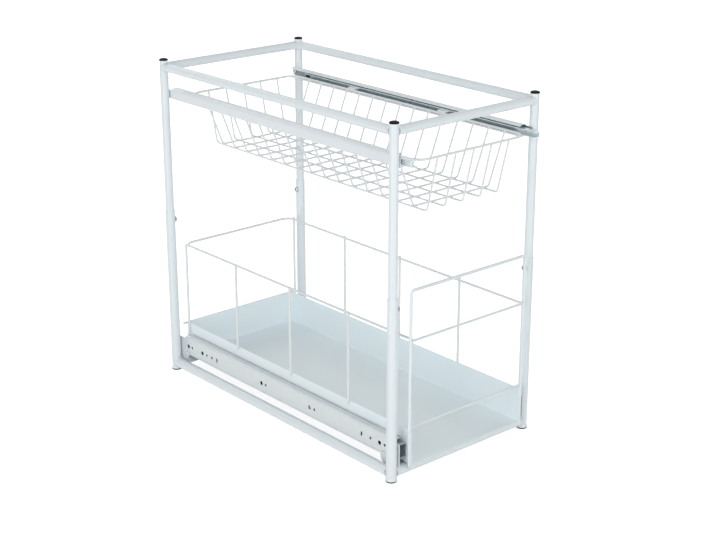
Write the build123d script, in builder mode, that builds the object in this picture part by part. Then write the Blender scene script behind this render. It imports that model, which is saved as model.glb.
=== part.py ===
from build123d import *
import math
import os

os.makedirs("parts", exist_ok=True)

# A free-standing, two-tier telescopic frame of round tube. A welded wire basket
# runs out of its upper half and a sheet tray with a wire gallery runs out of its
# lower half, both on ball bearing slides.
# +X right, -Y the pull side, +Z up, the floor at Z 0. It is drawn about the middle
# of the four posts, and handed out about the middle of its whole footprint.

# ------------------------------------------------------------------ frame sizes
post_pitch_x = 220.0          # post axes, left to right
post_pitch_y = 436.0          # post axes, front to rear
frame_height = 428.0          # floor to the top of the post plugs
lower_tube_od = 12.7
lower_tube_wall = 0.7
telescope_clearance = 0.08    # radial, upper post in lower post
upper_tube_wall = 0.9
lower_post_top = 226.5
telescope_insertion = 140.0   # length of upper post inside lower post
bottom_tube_z = 11.0
top_tube_drop = 8.5           # top tube axis below the upper post ends

bore_sides = 8                # hidden bores are drawn with few sides

# ------------------------------------------------------------------ feet, plugs
glide_thickness = 1.8
glide_radius = 6.9
foot_cap_height = 2.8
foot_flare = 0.8              # cap is this much wider than the post at its foot
foot_spigot = 9.0             # cap spigot inside the post
insert_clearance = 0.05       # radial, plastic inserts in their tubes
plug_flange = 2.0
plug_overhang = 0.3
plug_taper = 20.0             # degrees
plug_spigot = 8.0

# ------------------------------------------------------------------ screws
screw_d = 4.0
screw_hole_clearance = 0.05   # radial
clamp_screw_drop = 13.5       # below the lower post's top
clamp_tip_gap = 0.04          # screw tip to the upper post when loose
clamp_head_d = 8.0
clamp_head_height = 2.6

# ------------------------------------------------------------------ cross brackets
bracket_sheet = 1.2
bracket_z = 12.8              # underside of the flat strip
bracket_width = 15.0
bracket_tube_gap = 0.1
flank_setback = 10.5          # upstand flank, from the strip's outer edge
front_flank_radius = 9.0
rear_flank_radius = 3.0
weld_lap = 5.0                # upstand lap over the outer member's lower part
upstand_height = 34.0         # tall part beside the post
upstand_tall_y = 206.0
upstand_end = 6.0             # past the post axis
upstand_tube_gap = 0.8

# ------------------------------------------------------------------ lower slides
lower_slide_z = 36.0
lower_slide_height = 27.0
lower_slide_width = 12.2
lower_slide_sheet = 1.2
bend_share = 0.6              # outer bend of the sheet, as a share of it
lower_lip_depth = 1.8
lower_lip_u = 10.7
lower_outer_front = -214.0
lower_outer_rear = 206.0
lower_inner_front = -222.0
lower_inner_rear = 190.0
lower_inner_flange_u = 3.0
lower_ball_r = 1.6
lower_ball_u = 6.0
ball_clearance = 0.02
hole_big_d = 5.5
hole_small_d = 3.6
slot_hole = (6.0, 3.0)
slide_holes_big = (199.2, 167.2, 37.6, -59.4, -188.7)
slide_holes_small = (190.4, 157.1, 145.5, 28.5, -68.4, -172.7, -197.7)
slide_holes_slot = (134.3, -156.6)

# ------------------------------------------------------------------ upper slides
upper_slide_z = 382.0
upper_slide_height = 15.0
upper_slide_width = 11.0
upper_slide_sheet = 1.0
upper_shoulder_r = 4.5
upper_mouth_edge_r = 0.4
upper_lip_depth = 1.5
upper_rail_front = -204.0
upper_rail_rear = 207.0
tongue_reach = 4.0            # past the post axis
tongue_half_height = 5.5
upper_inner_front = -236.0
upper_inner_rear = 182.0
upper_inner_u = 3.4
upper_inner_proud = 1.4       # inner member past the rail's inboard face
upper_ball_r = 1.25
upper_ball_u = 6.4

# ------------------------------------------------------------------ ball cages
cage_length = 96.0
cage_centre_y = -12.0
cage_ball_pitch = 36.0
cage_balls_per_row = 3
cage_hole_clearance = 0.08
lower_cage_sheet = 0.8
lower_cage_u = 1.5
lower_cage_reach = 8.6
upper_cage_sheet = 0.6
upper_cage_u = 1.9
upper_cage_reach = 9.0
cage_bend = 1.6               # chamfer on the cage's outer corners
cage_bend_ease = 0.59

# ------------------------------------------------------------------ bumpers
bumper_length = 5.5
bumper_gap = 0.3
bumper_half_height = 7.0
bumper_depth = 6.5
upper_bumper_half_height = 2.6
upper_bumper_depth = 5.0

# ------------------------------------------------------------------ tray
tray_sheet = 1.0
tray_tube_gap = 0.45          # tray floor above the bottom tubes
tray_wall_top = 63.0
tray_front = -230.0
tray_rear = 218.0
tray_bend_r = 3.0
gallery_wire_d = 3.2
gallery_z = 174.5
gallery_rear_y = 218.7
gallery_corner_r = 12.0
upright_y = (-120.5, -10.0, 100.5, 211.0)
upright_lap = 4.0             # upright foot below the wall top
rear_upright_clear = 2.0      # rear upright foot above the slides
handle_wire_d = 4.0
handle_setback = 1.0          # handle wire's axis behind the pan's front edge
handle_top = 234.0
handle_corner_r = 10.0
handle_foot_ease = 0.5        # the foot bends stay tighter than the pan's bend
rear_wire_reach = 95.0
front_wire_overhang = 1.5

# ------------------------------------------------------------------ basket
rim_wire_d = 3.0
rim_half_width = 85.0
rim_front = -230.0
rim_rear = 198.0
rim_corner_r = 15.0
basket_wire_d = 2.4
basket_depth = 66.0           # rim axis to the long wires' axis
floor_half_width = 60.0
floor_inset_y = 16.0
basket_bend_r = 8.0
long_wire_x = (-56.0, -28.0, 0.0, 28.0, 56.0)
cross_wire_count = 15
cross_wire_first = -196.0
cross_wire_pitch = 25.7
wire_sides = 8                # wires are drawn eight-sided, flats to their neighbours
bend_facets = 2               # facets in each bend of the mesh wires
tab_y = (-88.0, 79.0)
tab_width = 14.0
tab_inset = 6.0               # tab inside the inner member's mouth
tab_rim_lap = 1.0             # tab past the rim's axis
tab_corner = 2.0

# ------------------------------------------------------------------ worked out
half_x = post_pitch_x / 2
half_y = post_pitch_y / 2
lower_r = lower_tube_od / 2
lower_bore_r = lower_r - lower_tube_wall
upper_r = lower_bore_r - telescope_clearance
upper_bore_r = upper_r - upper_tube_wall
lower_post_bottom = glide_thickness + foot_cap_height
upper_post_bottom = lower_post_top - telescope_insertion
upper_post_top = frame_height - plug_flange
top_tube_z = upper_post_top - top_tube_drop
clamp_screw_z = lower_post_top - clamp_screw_drop
handle_y = tray_front + handle_setback
gallery_front_y = handle_y - handle_wire_d / 2
footprint_middle_y = (upper_inner_front + half_y + lower_r + foot_flare) / 2
to_footprint = Location((0, -footprint_middle_y, 0))

corners = {
    "front_left": (-half_x, -half_y),
    "front_right": (half_x, -half_y),
    "rear_left": (-half_x, half_y),
    "rear_right": (half_x, half_y),
}
corner_points = list(corners.values())
# Turn about Z that points a piece made along +X at the middle of the frame.
inward_turn = {x: (0.0 if x < 0 else 180.0) for x, _ in corner_points}

slide_out_x = half_x - lower_r - bracket_sheet
tray_half = slide_out_x - lower_slide_width
rail_out_x = half_x - upper_r
tray_floor = bottom_tube_z + lower_r + tray_tube_gap

# ================================================================== lower frame
for corner, (px, py) in corners.items():
    with BuildPart() as lower_post:
        with BuildSketch(Plane.XY.offset(lower_post_bottom)):
            with Locations((px, py)):
                Circle(lower_r)
                Circle(lower_bore_r, mode=Mode.SUBTRACT)
        extrude(amount=lower_post_top - lower_post_bottom)
        # Tapped hole of the clamp screw, on the side that faces the middle.
        with BuildSketch(Plane.YZ.offset(px)):
            with Locations((py, clamp_screw_z)):
                RegularPolygon(screw_d / 2 + screw_hole_clearance, bore_sides)
        extrude(amount=math.copysign(lower_tube_od, -px), mode=Mode.SUBTRACT)
    lower_post.part.label = "lower_post_" + corner
    export_step(lower_post.part.moved(to_footprint), "parts/lower_post_" + corner + ".step")


# Each ring tube is coped to the posts and mitred against its neighbours.
def mitre_outline(half_length, half_width):
    """Corners of a long hexagon whose 45 degree ends stand at the post axes."""
    inner = half_length - half_width
    return [
        (-half_length, 0.0),
        (-inner, -half_width),
        (inner, -half_width),
        (half_length, 0.0),
        (inner, half_width),
        (-inner, half_width),
    ]


rings = {
    "bottom_tube_": (bottom_tube_z, lower_r, lower_bore_r),
    "top_tube_": (top_tube_z, upper_r, upper_bore_r),
}
for ring, (ring_z, ring_r, ring_bore_r) in rings.items():
    for side, sign in {"left": -1, "right": 1}.items():
        with BuildPart() as side_tube:
            with BuildSketch(Plane.XZ.offset(half_y)):
                with Locations((sign * half_x, ring_z)):
                    Circle(ring_r)
                    RegularPolygon(ring_bore_r, bore_sides, mode=Mode.SUBTRACT)
            extrude(amount=-post_pitch_y)
            with BuildSketch(Plane.XY.offset(ring_z - lower_tube_od)):
                with Locations(Location((sign * half_x, 0), 90)):
                    Polygon(*mitre_outline(half_y, lower_tube_od), align=None)
            extrude(amount=2 * lower_tube_od, mode=Mode.INTERSECT)
            with Locations((sign * half_x, -half_y, ring_z), (sign * half_x, half_y, ring_z)):
                Cylinder(ring_r, 2 * lower_tube_od, mode=Mode.SUBTRACT)
        side_tube.part.label = ring + side
        export_step(side_tube.part.moved(to_footprint), "parts/" + ring + side + ".step")
    for end, sign in {"front": -1, "rear": 1}.items():
        with BuildPart() as end_tube:
            with BuildSketch(Plane.YZ.offset(-half_x)):
                with Locations((sign * half_y, ring_z)):
                    Circle(ring_r)
                    RegularPolygon(ring_bore_r, bore_sides, mode=Mode.SUBTRACT)
            extrude(amount=post_pitch_x)
            with BuildSketch(Plane.XY.offset(ring_z - lower_tube_od)):
                with Locations((0, sign * half_y)):
                    Polygon(*mitre_outline(half_x, lower_tube_od), align=None)
            extrude(amount=2 * lower_tube_od, mode=Mode.INTERSECT)
            with Locations((-half_x, sign * half_y, ring_z), (half_x, sign * half_y, ring_z)):
                Cylinder(ring_r, 2 * lower_tube_od, mode=Mode.SUBTRACT)
        end_tube.part.label = ring + end
        export_step(end_tube.part.moved(to_footprint), "parts/" + ring + end + ".step")

# Flared foot cap with a spigot up the post.
foot_taper = math.degrees(math.atan2(foot_flare, foot_cap_height))
with BuildPart() as foot_cap:
    with BuildSketch(Plane.XY.offset(glide_thickness)):
        Circle(lower_r + foot_flare)
    extrude(amount=foot_cap_height, taper=foot_taper)
    with BuildSketch(Plane.XY.offset(lower_post_bottom)):
        RegularPolygon(lower_bore_r - insert_clearance, bore_sides)
    extrude(amount=foot_spigot)
with BuildPart() as foot_caps:
    with Locations(*corner_points):
        add(foot_cap.part)
foot_caps.part.label = "foot_caps"
export_step(foot_caps.part.moved(to_footprint), "parts/foot_caps.step")

with BuildPart() as foot_glide:
    with BuildSketch():
        RegularPolygon(glide_radius, 2 * bore_sides)
    extrude(amount=glide_thickness)
with BuildPart() as foot_glides:
    with Locations(*corner_points):
        add(foot_glide.part)
foot_glides.part.label = "foot_glides"
export_step(foot_glides.part.moved(to_footprint), "parts/foot_glides.step")

# Pan head clamp screw, made along +X from the post axis.
with BuildPart() as clamp_screw:
    with BuildSketch(Plane.YZ.offset(upper_r + clamp_tip_gap)):
        RegularPolygon(screw_d / 2, bore_sides)
    extrude(amount=lower_r - upper_r - clamp_tip_gap)
    with BuildSketch(Plane.YZ.offset(lower_r)):
        Circle(clamp_head_d / 2)
    extrude(amount=clamp_head_height)
with BuildPart() as clamp_screws:
    with Locations(*[Location((x, y, clamp_screw_z), (0, 0, inward_turn[x])) for x, y in corner_points]):
        add(clamp_screw.part)
clamp_screws.part.label = "clamp_screws"
export_step(clamp_screws.part.moved(to_footprint), "parts/clamp_screws.step")

# Cross brackets: a flat strip beside the end tube, with an upstand at each end
# that stands between the tubes and the slide and carries the slide.
strip_outer_y = half_y - lower_r - bracket_tube_gap
strip_inner_y = strip_outer_y - bracket_width
flank_y = strip_outer_y - flank_setback
slide_bottom = lower_slide_z - lower_slide_height / 2
tube_top = bottom_tube_z + lower_r
for end, sign, flank_r in (("front", -1, front_flank_radius), ("rear", 1, rear_flank_radius)):
    with BuildPart() as cross_bracket:
        with BuildSketch(Plane.XY.offset(bracket_z)):
            with Locations((0, sign * (strip_outer_y + strip_inner_y) / 2)):
                Rectangle(2 * (slide_out_x + bracket_sheet), bracket_width)
        extrude(amount=bracket_sheet)
        with BuildSketch(Plane.YZ.offset(slide_out_x)):
            with BuildLine():
                Polyline(
                    (sign * (flank_y - flank_r), slide_bottom),
                    (sign * (flank_y - flank_r), slide_bottom + weld_lap),
                    (sign * upstand_tall_y, slide_bottom + weld_lap),
                    (sign * upstand_tall_y, bracket_z + upstand_height),
                    (sign * (half_y + upstand_end), bracket_z + upstand_height),
                    (sign * (half_y + upstand_end), tube_top + upstand_tube_gap),
                    (sign * strip_outer_y, tube_top + upstand_tube_gap),
                    (sign * strip_outer_y, bracket_z),
                    (sign * flank_y, bracket_z),
                    (sign * flank_y, slide_bottom - flank_r),
                )
                RadiusArc(
                    (sign * flank_y, slide_bottom - flank_r),
                    (sign * (flank_y - flank_r), slide_bottom),
                    sign * flank_r,
                )
            make_face()
        extrude(amount=bracket_sheet)
        mirror(cross_bracket.part, about=Plane.YZ)
    cross_bracket.part.label = "cross_bracket_" + end
    export_step(cross_bracket.part.moved(to_footprint), "parts/cross_bracket_" + end + ".step")

# ------------------------------------------------------------------ lower slides
# Slide sections are drawn on the left side: u runs inboard from the outer face.
slide_half = lower_slide_height / 2
outer_race = slide_half - lower_slide_sheet
ball_z_lower = outer_race - ball_clearance - lower_ball_r
inner_race = ball_z_lower - lower_ball_r - ball_clearance

with BuildPart() as lower_outer_left:
    with BuildSketch(Plane.XZ.offset(-lower_outer_rear)):
        with Locations((-slide_out_x + lower_lip_u / 2, lower_slide_z)):
            Rectangle(lower_lip_u, lower_slide_height)
        with Locations((-slide_out_x + lower_lip_u / 2, lower_slide_z)):
            Rectangle(lower_lip_u - 2 * lower_slide_sheet, 2 * outer_race, mode=Mode.SUBTRACT)
        with Locations((-slide_out_x + lower_lip_u, lower_slide_z)):
            Rectangle(
                2 * lower_slide_sheet + 2 * ball_clearance,
                2 * (outer_race - lower_lip_depth),
                mode=Mode.SUBTRACT,
            )
    extrude(amount=lower_outer_rear - lower_outer_front)
    long_edges = lower_outer_left.edges().filter_by(Axis.Y)
    chamfer(
        long_edges.group_by(Axis.Z)[0] + long_edges.group_by(Axis.Z)[-1],
        lower_slide_sheet * bend_share,
    )
    with BuildSketch(Plane.YZ.offset(-slide_out_x)):
        with Locations(*[(y, lower_slide_z) for y in slide_holes_big]):
            RegularPolygon(hole_big_d / 2, bore_sides)
        with Locations(*[(y, lower_slide_z) for y in slide_holes_small]):
            RegularPolygon(hole_small_d / 2, bore_sides)
        with Locations(*[(y, lower_slide_z) for y in slide_holes_slot]):
            Rectangle(slot_hole[1], slot_hole[0])
    extrude(amount=2 * lower_slide_sheet, mode=Mode.SUBTRACT)
lower_outer_left.part.label = "lower_outer_member_left"
export_step(lower_outer_left.part.moved(to_footprint), "parts/lower_outer_member_left.step")

with BuildPart() as lower_outer_right:
    mirror(lower_outer_left.part, about=Plane.YZ)
lower_outer_right.part.label = "lower_outer_member_right"
export_step(lower_outer_right.part.moved(to_footprint), "parts/lower_outer_member_right.step")

# Inner member: a channel with its web on the tray wall.
with BuildPart() as lower_inner_left:
    with BuildSketch(Plane.XZ.offset(-lower_inner_rear)):
        inner_width = lower_slide_width - lower_inner_flange_u
        with Locations((-tray_half - inner_width / 2, lower_slide_z)):
            Rectangle(inner_width, 2 * inner_race)
        with Locations((-tray_half - inner_width / 2 - lower_slide_sheet, lower_slide_z)):
            Rectangle(inner_width, 2 * (inner_race - lower_slide_sheet), mode=Mode.SUBTRACT)
    extrude(amount=lower_inner_rear - lower_inner_front)
lower_inner_left.part.label = "lower_inner_member_left"
export_step(lower_inner_left.part.moved(to_footprint), "parts/lower_inner_member_left.step")

with BuildPart() as lower_inner_right:
    mirror(lower_inner_left.part, about=Plane.YZ)
lower_inner_right.part.label = "lower_inner_member_right"
export_step(lower_inner_right.part.moved(to_footprint), "parts/lower_inner_member_right.step")

ball_rows = [
    cage_centre_y + (k - (cage_balls_per_row - 1) / 2) * cage_ball_pitch
    for k in range(cage_balls_per_row)
]


for slide, ball_r, ball_u, ball_z, centre_z, out_x, sheet, cage_u, reach in (
    (
        "lower", lower_ball_r, lower_ball_u, ball_z_lower, lower_slide_z, slide_out_x,
        lower_cage_sheet, lower_cage_u, lower_cage_reach,
    ),
    (
        "upper", upper_ball_r, upper_ball_u,
        upper_slide_height / 2 - upper_slide_sheet - ball_clearance - upper_ball_r,
        upper_slide_z, rail_out_x, upper_cage_sheet, upper_cage_u, upper_cage_reach,
    ),
):
    cage_half = ball_z + sheet / 2
    with BuildPart() as cage_left:
        with BuildSketch(Plane.XZ.offset(-cage_centre_y - cage_length / 2)):
            with Locations((-out_x + (cage_u + reach) / 2, centre_z)):
                Rectangle(reach - cage_u, 2 * cage_half)
            with Locations((-out_x + (cage_u + reach) / 2 + sheet, centre_z)):
                Rectangle(reach - cage_u, 2 * (cage_half - sheet), mode=Mode.SUBTRACT)
        extrude(amount=cage_length)
        chamfer(
            cage_left.edges().filter_by(Axis.Y).group_by(Axis.X)[1],
            cage_bend - sheet * cage_bend_ease,
        )
        chamfer(cage_left.edges().filter_by(Axis.Y).group_by(Axis.X)[0], cage_bend)
        # Square ball pockets, straight through both flanges.
        with BuildSketch(Plane.XY.offset(centre_z - cage_half)):
            with Locations(*[(-out_x + ball_u, y) for y in ball_rows]):
                Rectangle(
                    2 * (ball_r + cage_hole_clearance), 2 * (ball_r + cage_hole_clearance)
                )
        extrude(amount=2 * cage_half, mode=Mode.SUBTRACT)
    cage_left.part.label = slide + "_ball_cage_left"
    export_step(cage_left.part.moved(to_footprint), "parts/" + slide + "_ball_cage_left.step")
    with BuildPart() as cage_right:
        mirror(cage_left.part, about=Plane.YZ)
    cage_right.part.label = slide + "_ball_cage_right"
    export_step(cage_right.part.moved(to_footprint), "parts/" + slide + "_ball_cage_right.step")

    # A ball is drawn as a cube chamfered to eighteen flats, all tangent to it.
    with BuildPart() as ball:
        Box(2 * ball_r, 2 * ball_r, 2 * ball_r)
        chamfer(ball.edges(), ball_r * (2 - math.sqrt(2)))
    for side, sign in {"left": -1, "right": 1}.items():
        with BuildPart() as balls:
            with Locations(
                *[
                    (sign * (out_x - ball_u), y, centre_z + level * ball_z)
                    for y in ball_rows
                    for level in (-1, 1)
                ]
            ):
                add(ball.part)
        balls.part.label = slide + "_balls_" + side
        export_step(balls.part.moved(to_footprint), "parts/" + slide + "_balls_" + side + ".step")

# Rear bumpers of the lower slides.
with BuildPart() as lower_bumpers:
    for sign in (-1, 1):
        with BuildSketch(Plane.XZ.offset(-lower_inner_rear - bumper_gap - bumper_length)):
            with Locations(
                (sign * (slide_out_x - lower_slide_sheet - bumper_depth / 2), lower_slide_z)
            ):
                Rectangle(bumper_depth, 2 * bumper_half_height)
        extrude(amount=bumper_length)
lower_bumpers.part.label = "lower_runner_bumpers"
export_step(lower_bumpers.part.moved(to_footprint), "parts/lower_runner_bumpers.step")

# ================================================================== upper frame
for corner, (px, py) in corners.items():
    with BuildPart() as upper_post:
        with BuildSketch(Plane.XY.offset(upper_post_bottom)):
            with Locations((px, py)):
                Circle(upper_r)
                RegularPolygon(upper_bore_r, bore_sides, mode=Mode.SUBTRACT)
        extrude(amount=upper_post_top - upper_post_bottom)
    upper_post.part.label = "upper_post_" + corner
    export_step(upper_post.part.moved(to_footprint), "parts/upper_post_" + corner + ".step")

with BuildPart() as post_plug:
    with BuildSketch(Plane.XY.offset(upper_post_top)):
        Circle(upper_r + plug_overhang)
    extrude(amount=plug_flange, taper=plug_taper)
    with BuildSketch(Plane.XY.offset(upper_post_top)):
        RegularPolygon(upper_bore_r - insert_clearance, bore_sides)
    extrude(amount=-plug_spigot)
with BuildPart() as post_plugs:
    with Locations(*corner_points):
        add(post_plug.part)
post_plugs.part.label = "post_plugs"
export_step(post_plugs.part.moved(to_footprint), "parts/post_plugs.step")

# Upper rails: the white outer members, with rounded shoulders on the outboard
# side and flat tongues that reach the posts.
rail_half = upper_slide_height / 2
upper_race = rail_half - upper_slide_sheet
with BuildPart() as upper_rail_left:
    with BuildSketch(Plane.XZ.offset(-upper_rail_rear)):
        with BuildSketch(mode=Mode.PRIVATE) as rail_outside:
            with Locations((-rail_out_x + upper_slide_width / 2, upper_slide_z)):
                Rectangle(upper_slide_width, upper_slide_height)
            fillet(rail_outside.vertices().group_by(Axis.X)[0], upper_shoulder_r)
            fillet(rail_outside.vertices().group_by(Axis.X)[-1], upper_mouth_edge_r)
        with BuildSketch(mode=Mode.PRIVATE) as rail_inside:
            with Locations((-rail_out_x + upper_slide_width / 2, upper_slide_z)):
                Rectangle(upper_slide_width - 2 * upper_slide_sheet, 2 * upper_race)
            fillet(
                rail_inside.vertices().group_by(Axis.X)[0],
                upper_shoulder_r - upper_slide_sheet,
            )
        add(rail_outside.sketch)
        add(rail_inside.sketch, mode=Mode.SUBTRACT)
        with Locations((-rail_out_x + upper_slide_width, upper_slide_z)):
            Rectangle(
                2 * upper_slide_sheet + 2 * ball_clearance,
                2 * (upper_race - upper_lip_depth),
                mode=Mode.SUBTRACT,
            )
    extrude(amount=upper_rail_rear - upper_rail_front)
    for end_y, tongue_end in (
        (upper_rail_front, -half_y - tongue_reach),
        (upper_rail_rear, half_y + tongue_reach),
    ):
        with BuildSketch(Plane.YZ.offset(-rail_out_x)):
            with Locations(((end_y + tongue_end) / 2, upper_slide_z)):
                Rectangle(abs(tongue_end - end_y), 2 * tongue_half_height)
        extrude(amount=upper_slide_sheet)
upper_rail_left.part.label = "upper_rail_left"
export_step(upper_rail_left.part.moved(to_footprint), "parts/upper_rail_left.step")

with BuildPart() as upper_rail_right:
    mirror(upper_rail_left.part, about=Plane.YZ)
upper_rail_right.part.label = "upper_rail_right"
export_step(upper_rail_right.part.moved(to_footprint), "parts/upper_rail_right.step")

with BuildPart() as upper_bumpers:
    for sign in (-1, 1):
        with BuildSketch(Plane.XZ.offset(-upper_inner_rear - bumper_gap - bumper_length)):
            with Locations(
                (sign * (rail_out_x - upper_slide_sheet - upper_bumper_depth / 2), upper_slide_z)
            ):
                Rectangle(upper_bumper_depth, 2 * upper_bumper_half_height)
        extrude(amount=bumper_length)
upper_bumpers.part.label = "upper_runner_bumpers"
export_step(upper_bumpers.part.moved(to_footprint), "parts/upper_runner_bumpers.step")

# ================================================================== lower tray
with BuildPart() as tray_pan:
    with BuildSketch(Plane.XY.offset(tray_floor)):
        with Locations((0, (tray_front + tray_rear) / 2)):
            Rectangle(2 * tray_half, tray_rear - tray_front)
    extrude(amount=tray_wall_top - tray_floor)
    floor_edges = tray_pan.edges().group_by(Axis.Z)[0]
    fillet(
        floor_edges.filter_by(Axis.Y) + floor_edges.filter_by(Axis.X).sort_by(Axis.Y)[-1:],
        tray_bend_r,
    )
    offset(
        amount=-tray_sheet,
        openings=[tray_pan.faces().sort_by(Axis.Z)[-1], tray_pan.faces().sort_by(Axis.Y)[0]],
    )
tray_pan.part.label = "tray_pan"
export_step(tray_pan.part.moved(to_footprint), "parts/tray_pan.step")

wire_r = gallery_wire_d / 2
upright_x = tray_half + wire_r
gallery_x = upright_x - gallery_wire_d
handle_r = handle_wire_d / 2
handle_x = tray_half + handle_r

# Gallery: one wire round three sides, its ends beside the handle.
with BuildPart() as tray_gallery:
    with BuildLine(Plane.XY.offset(gallery_z)):
        gallery_path = FilletPolyline(
            (-gallery_x, gallery_front_y),
            (-gallery_x, gallery_rear_y),
            (gallery_x, gallery_rear_y),
            (gallery_x, gallery_front_y),
            radius=gallery_corner_r,
        )
    with BuildSketch(Plane(gallery_path @ 0, x_dir=(0, 0, 1), z_dir=gallery_path % 0)):
        RegularPolygon(wire_r, wire_sides, major_radius=False, rotation=180 / wire_sides)
    sweep()
tray_gallery.part.label = "tray_gallery_wire"
export_step(tray_gallery.part.moved(to_footprint), "parts/tray_gallery_wire.step")

with BuildPart() as tray_uprights:
    for y in upright_y:
        foot = tray_wall_top - upright_lap
        if y == max(upright_y):
            foot = lower_slide_z + slide_half + rear_upright_clear
        with BuildSketch(Plane.XY.offset(foot)):
            with Locations((-upright_x, y), (upright_x, y)):
                RegularPolygon(wire_r, wire_sides, major_radius=False, rotation=180 / wire_sides)
        extrude(amount=gallery_z + wire_r - foot)
tray_uprights.part.label = "tray_uprights"
export_step(tray_uprights.part.moved(to_footprint), "parts/tray_uprights.step")

# Front handle: a closed loop of thicker wire round the mouth of the pan.
handle_bottom = tray_floor - handle_r
handle_foot_r = tray_bend_r + handle_r - handle_foot_ease
with BuildPart() as tray_handle:
    with BuildLine(Plane.XZ.offset(-handle_y)):
        handle_path = FilletPolyline(
            (-handle_x, handle_bottom),
            (-handle_x, handle_top),
            (handle_x, handle_top),
            (handle_x, handle_bottom),
            radius=(handle_foot_r, handle_corner_r, handle_corner_r, handle_foot_r),
            close=True,
        )
    with BuildSketch(Plane(handle_path @ 0, x_dir=(0, 1, 0), z_dir=handle_path % 0)):
        RegularPolygon(handle_r, wire_sides, major_radius=False, rotation=180 / wire_sides)
    sweep()
tray_handle.part.label = "tray_front_handle"
export_step(tray_handle.part.moved(to_footprint), "parts/tray_front_handle.step")

# Cross wires: under the gallery ends, on the wall tops, and behind the rear wall.
front_wire_y = handle_y + handle_r + wire_r
front_wire_reach = handle_x + front_wire_overhang
with BuildPart() as tray_cross_wires:
    for level in (gallery_z - gallery_wire_d, tray_wall_top + wire_r):
        with BuildSketch(Plane.YZ.offset(-front_wire_reach)):
            with Locations((front_wire_y, level)):
                RegularPolygon(wire_r, wire_sides, major_radius=False, rotation=180 / wire_sides)
        extrude(amount=2 * front_wire_reach)
    with BuildSketch(Plane.YZ.offset(-rear_wire_reach)):
        with Locations((tray_rear + wire_r, tray_wall_top - wire_r)):
            RegularPolygon(wire_r, wire_sides, major_radius=False, rotation=180 / wire_sides)
    extrude(amount=2 * rear_wire_reach)
tray_cross_wires.part.label = "tray_cross_wires"
export_step(tray_cross_wires.part.moved(to_footprint), "parts/tray_cross_wires.step")

# ================================================================== wire basket
rim_r = rim_wire_d / 2
mesh_r = basket_wire_d / 2
long_z = upper_slide_z - basket_depth
cross_z = long_z + basket_wire_d

with BuildPart() as basket_rim:
    with BuildLine(Plane.XY.offset(upper_slide_z)):
        rim_path = FilletPolyline(
            (-rim_half_width, rim_front),
            (-rim_half_width, rim_rear),
            (rim_half_width, rim_rear),
            (rim_half_width, rim_front),
            radius=rim_corner_r,
            close=True,
        )
    with BuildSketch(Plane(rim_path @ 0, x_dir=(0, 0, 1), z_dir=rim_path % 0)):
        RegularPolygon(rim_r, wire_sides, major_radius=False, rotation=180 / wire_sides)
    sweep()
basket_rim.part.label = "basket_rim"
export_step(basket_rim.part.moved(to_footprint), "parts/basket_rim.step")


def wire_top(rim_at, floor_at, floor_level):
    """Where a wall wire's axis ends, square against the rim wire."""
    run = math.hypot(rim_at - floor_at, upper_slide_z - floor_level)
    share = rim_r / math.cos(math.pi / wire_sides) / run
    return (
        rim_at - (rim_at - floor_at) * share,
        upper_slide_z - (upper_slide_z - floor_level) * share,
    )


def bent_wire(*points):
    """The points of a wire with each corner bent at basket_bend_r, in short facets."""
    bent = [Vector(*points[0])]
    for before, corner, after in zip(points, points[1:], points[2:]):
        back = (Vector(*before) - Vector(*corner)).normalized()
        ahead = (Vector(*after) - Vector(*corner)).normalized()
        turn = math.pi - math.radians(back.get_angle(ahead))
        reach = basket_bend_r * math.tan(turn / 2)
        centre = Vector(*corner) + (back + ahead).normalized() * (
            basket_bend_r / math.cos(turn / 2)
        )
        start = Vector(*corner) + back * reach
        swing = math.copysign(turn, back.Y * ahead.X - back.X * ahead.Y)
        for k in range(bend_facets + 1):
            bent.append(centre + (start - centre).rotate(Axis.Z, math.degrees(swing * k / bend_facets)))
    bent.append(Vector(*points[-1]))
    return [(point.X, point.Y) for point in bent]


# Long wires: floor wires that turn up into the front and rear walls.
with BuildPart() as long_wire:
    with BuildLine(Plane.YZ):
        long_path = Polyline(
            *bent_wire(
                wire_top(rim_front, rim_front + floor_inset_y, long_z),
                (rim_front + floor_inset_y, long_z),
                (rim_rear - floor_inset_y, long_z),
                wire_top(rim_rear, rim_rear - floor_inset_y, long_z),
            )
        )
    with BuildSketch(Plane(long_path @ 0, x_dir=(1, 0, 0), z_dir=long_path % 0)):
        RegularPolygon(mesh_r, wire_sides, major_radius=False, rotation=180 / wire_sides)
    sweep(transition=Transition.RIGHT)
with BuildPart() as basket_long_wires:
    with Locations(*[(x, 0, 0) for x in long_wire_x]):
        add(long_wire.part)
basket_long_wires.part.label = "basket_long_wires"
export_step(basket_long_wires.part.moved(to_footprint), "parts/basket_long_wires.step")

# Cross wires: lie on the long wires and turn up into the side walls.
with BuildPart() as cross_wire:
    with BuildLine(Plane.XZ):
        cross_path = Polyline(
            *bent_wire(
                wire_top(-rim_half_width, -floor_half_width, cross_z),
                (-floor_half_width, cross_z),
                (floor_half_width, cross_z),
                wire_top(rim_half_width, floor_half_width, cross_z),
            )
        )
    with BuildSketch(Plane(cross_path @ 0, x_dir=(0, 1, 0), z_dir=cross_path % 0)):
        RegularPolygon(mesh_r, wire_sides, major_radius=False, rotation=180 / wire_sides)
    sweep(transition=Transition.RIGHT)
with BuildPart() as basket_cross_wires:
    with Locations(*[(0, cross_wire_first + k * cross_wire_pitch, 0) for k in range(cross_wire_count)]):
        add(cross_wire.part)
basket_cross_wires.part.label = "basket_cross_wires"
export_step(basket_cross_wires.part.moved(to_footprint), "parts/basket_cross_wires.step")

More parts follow.
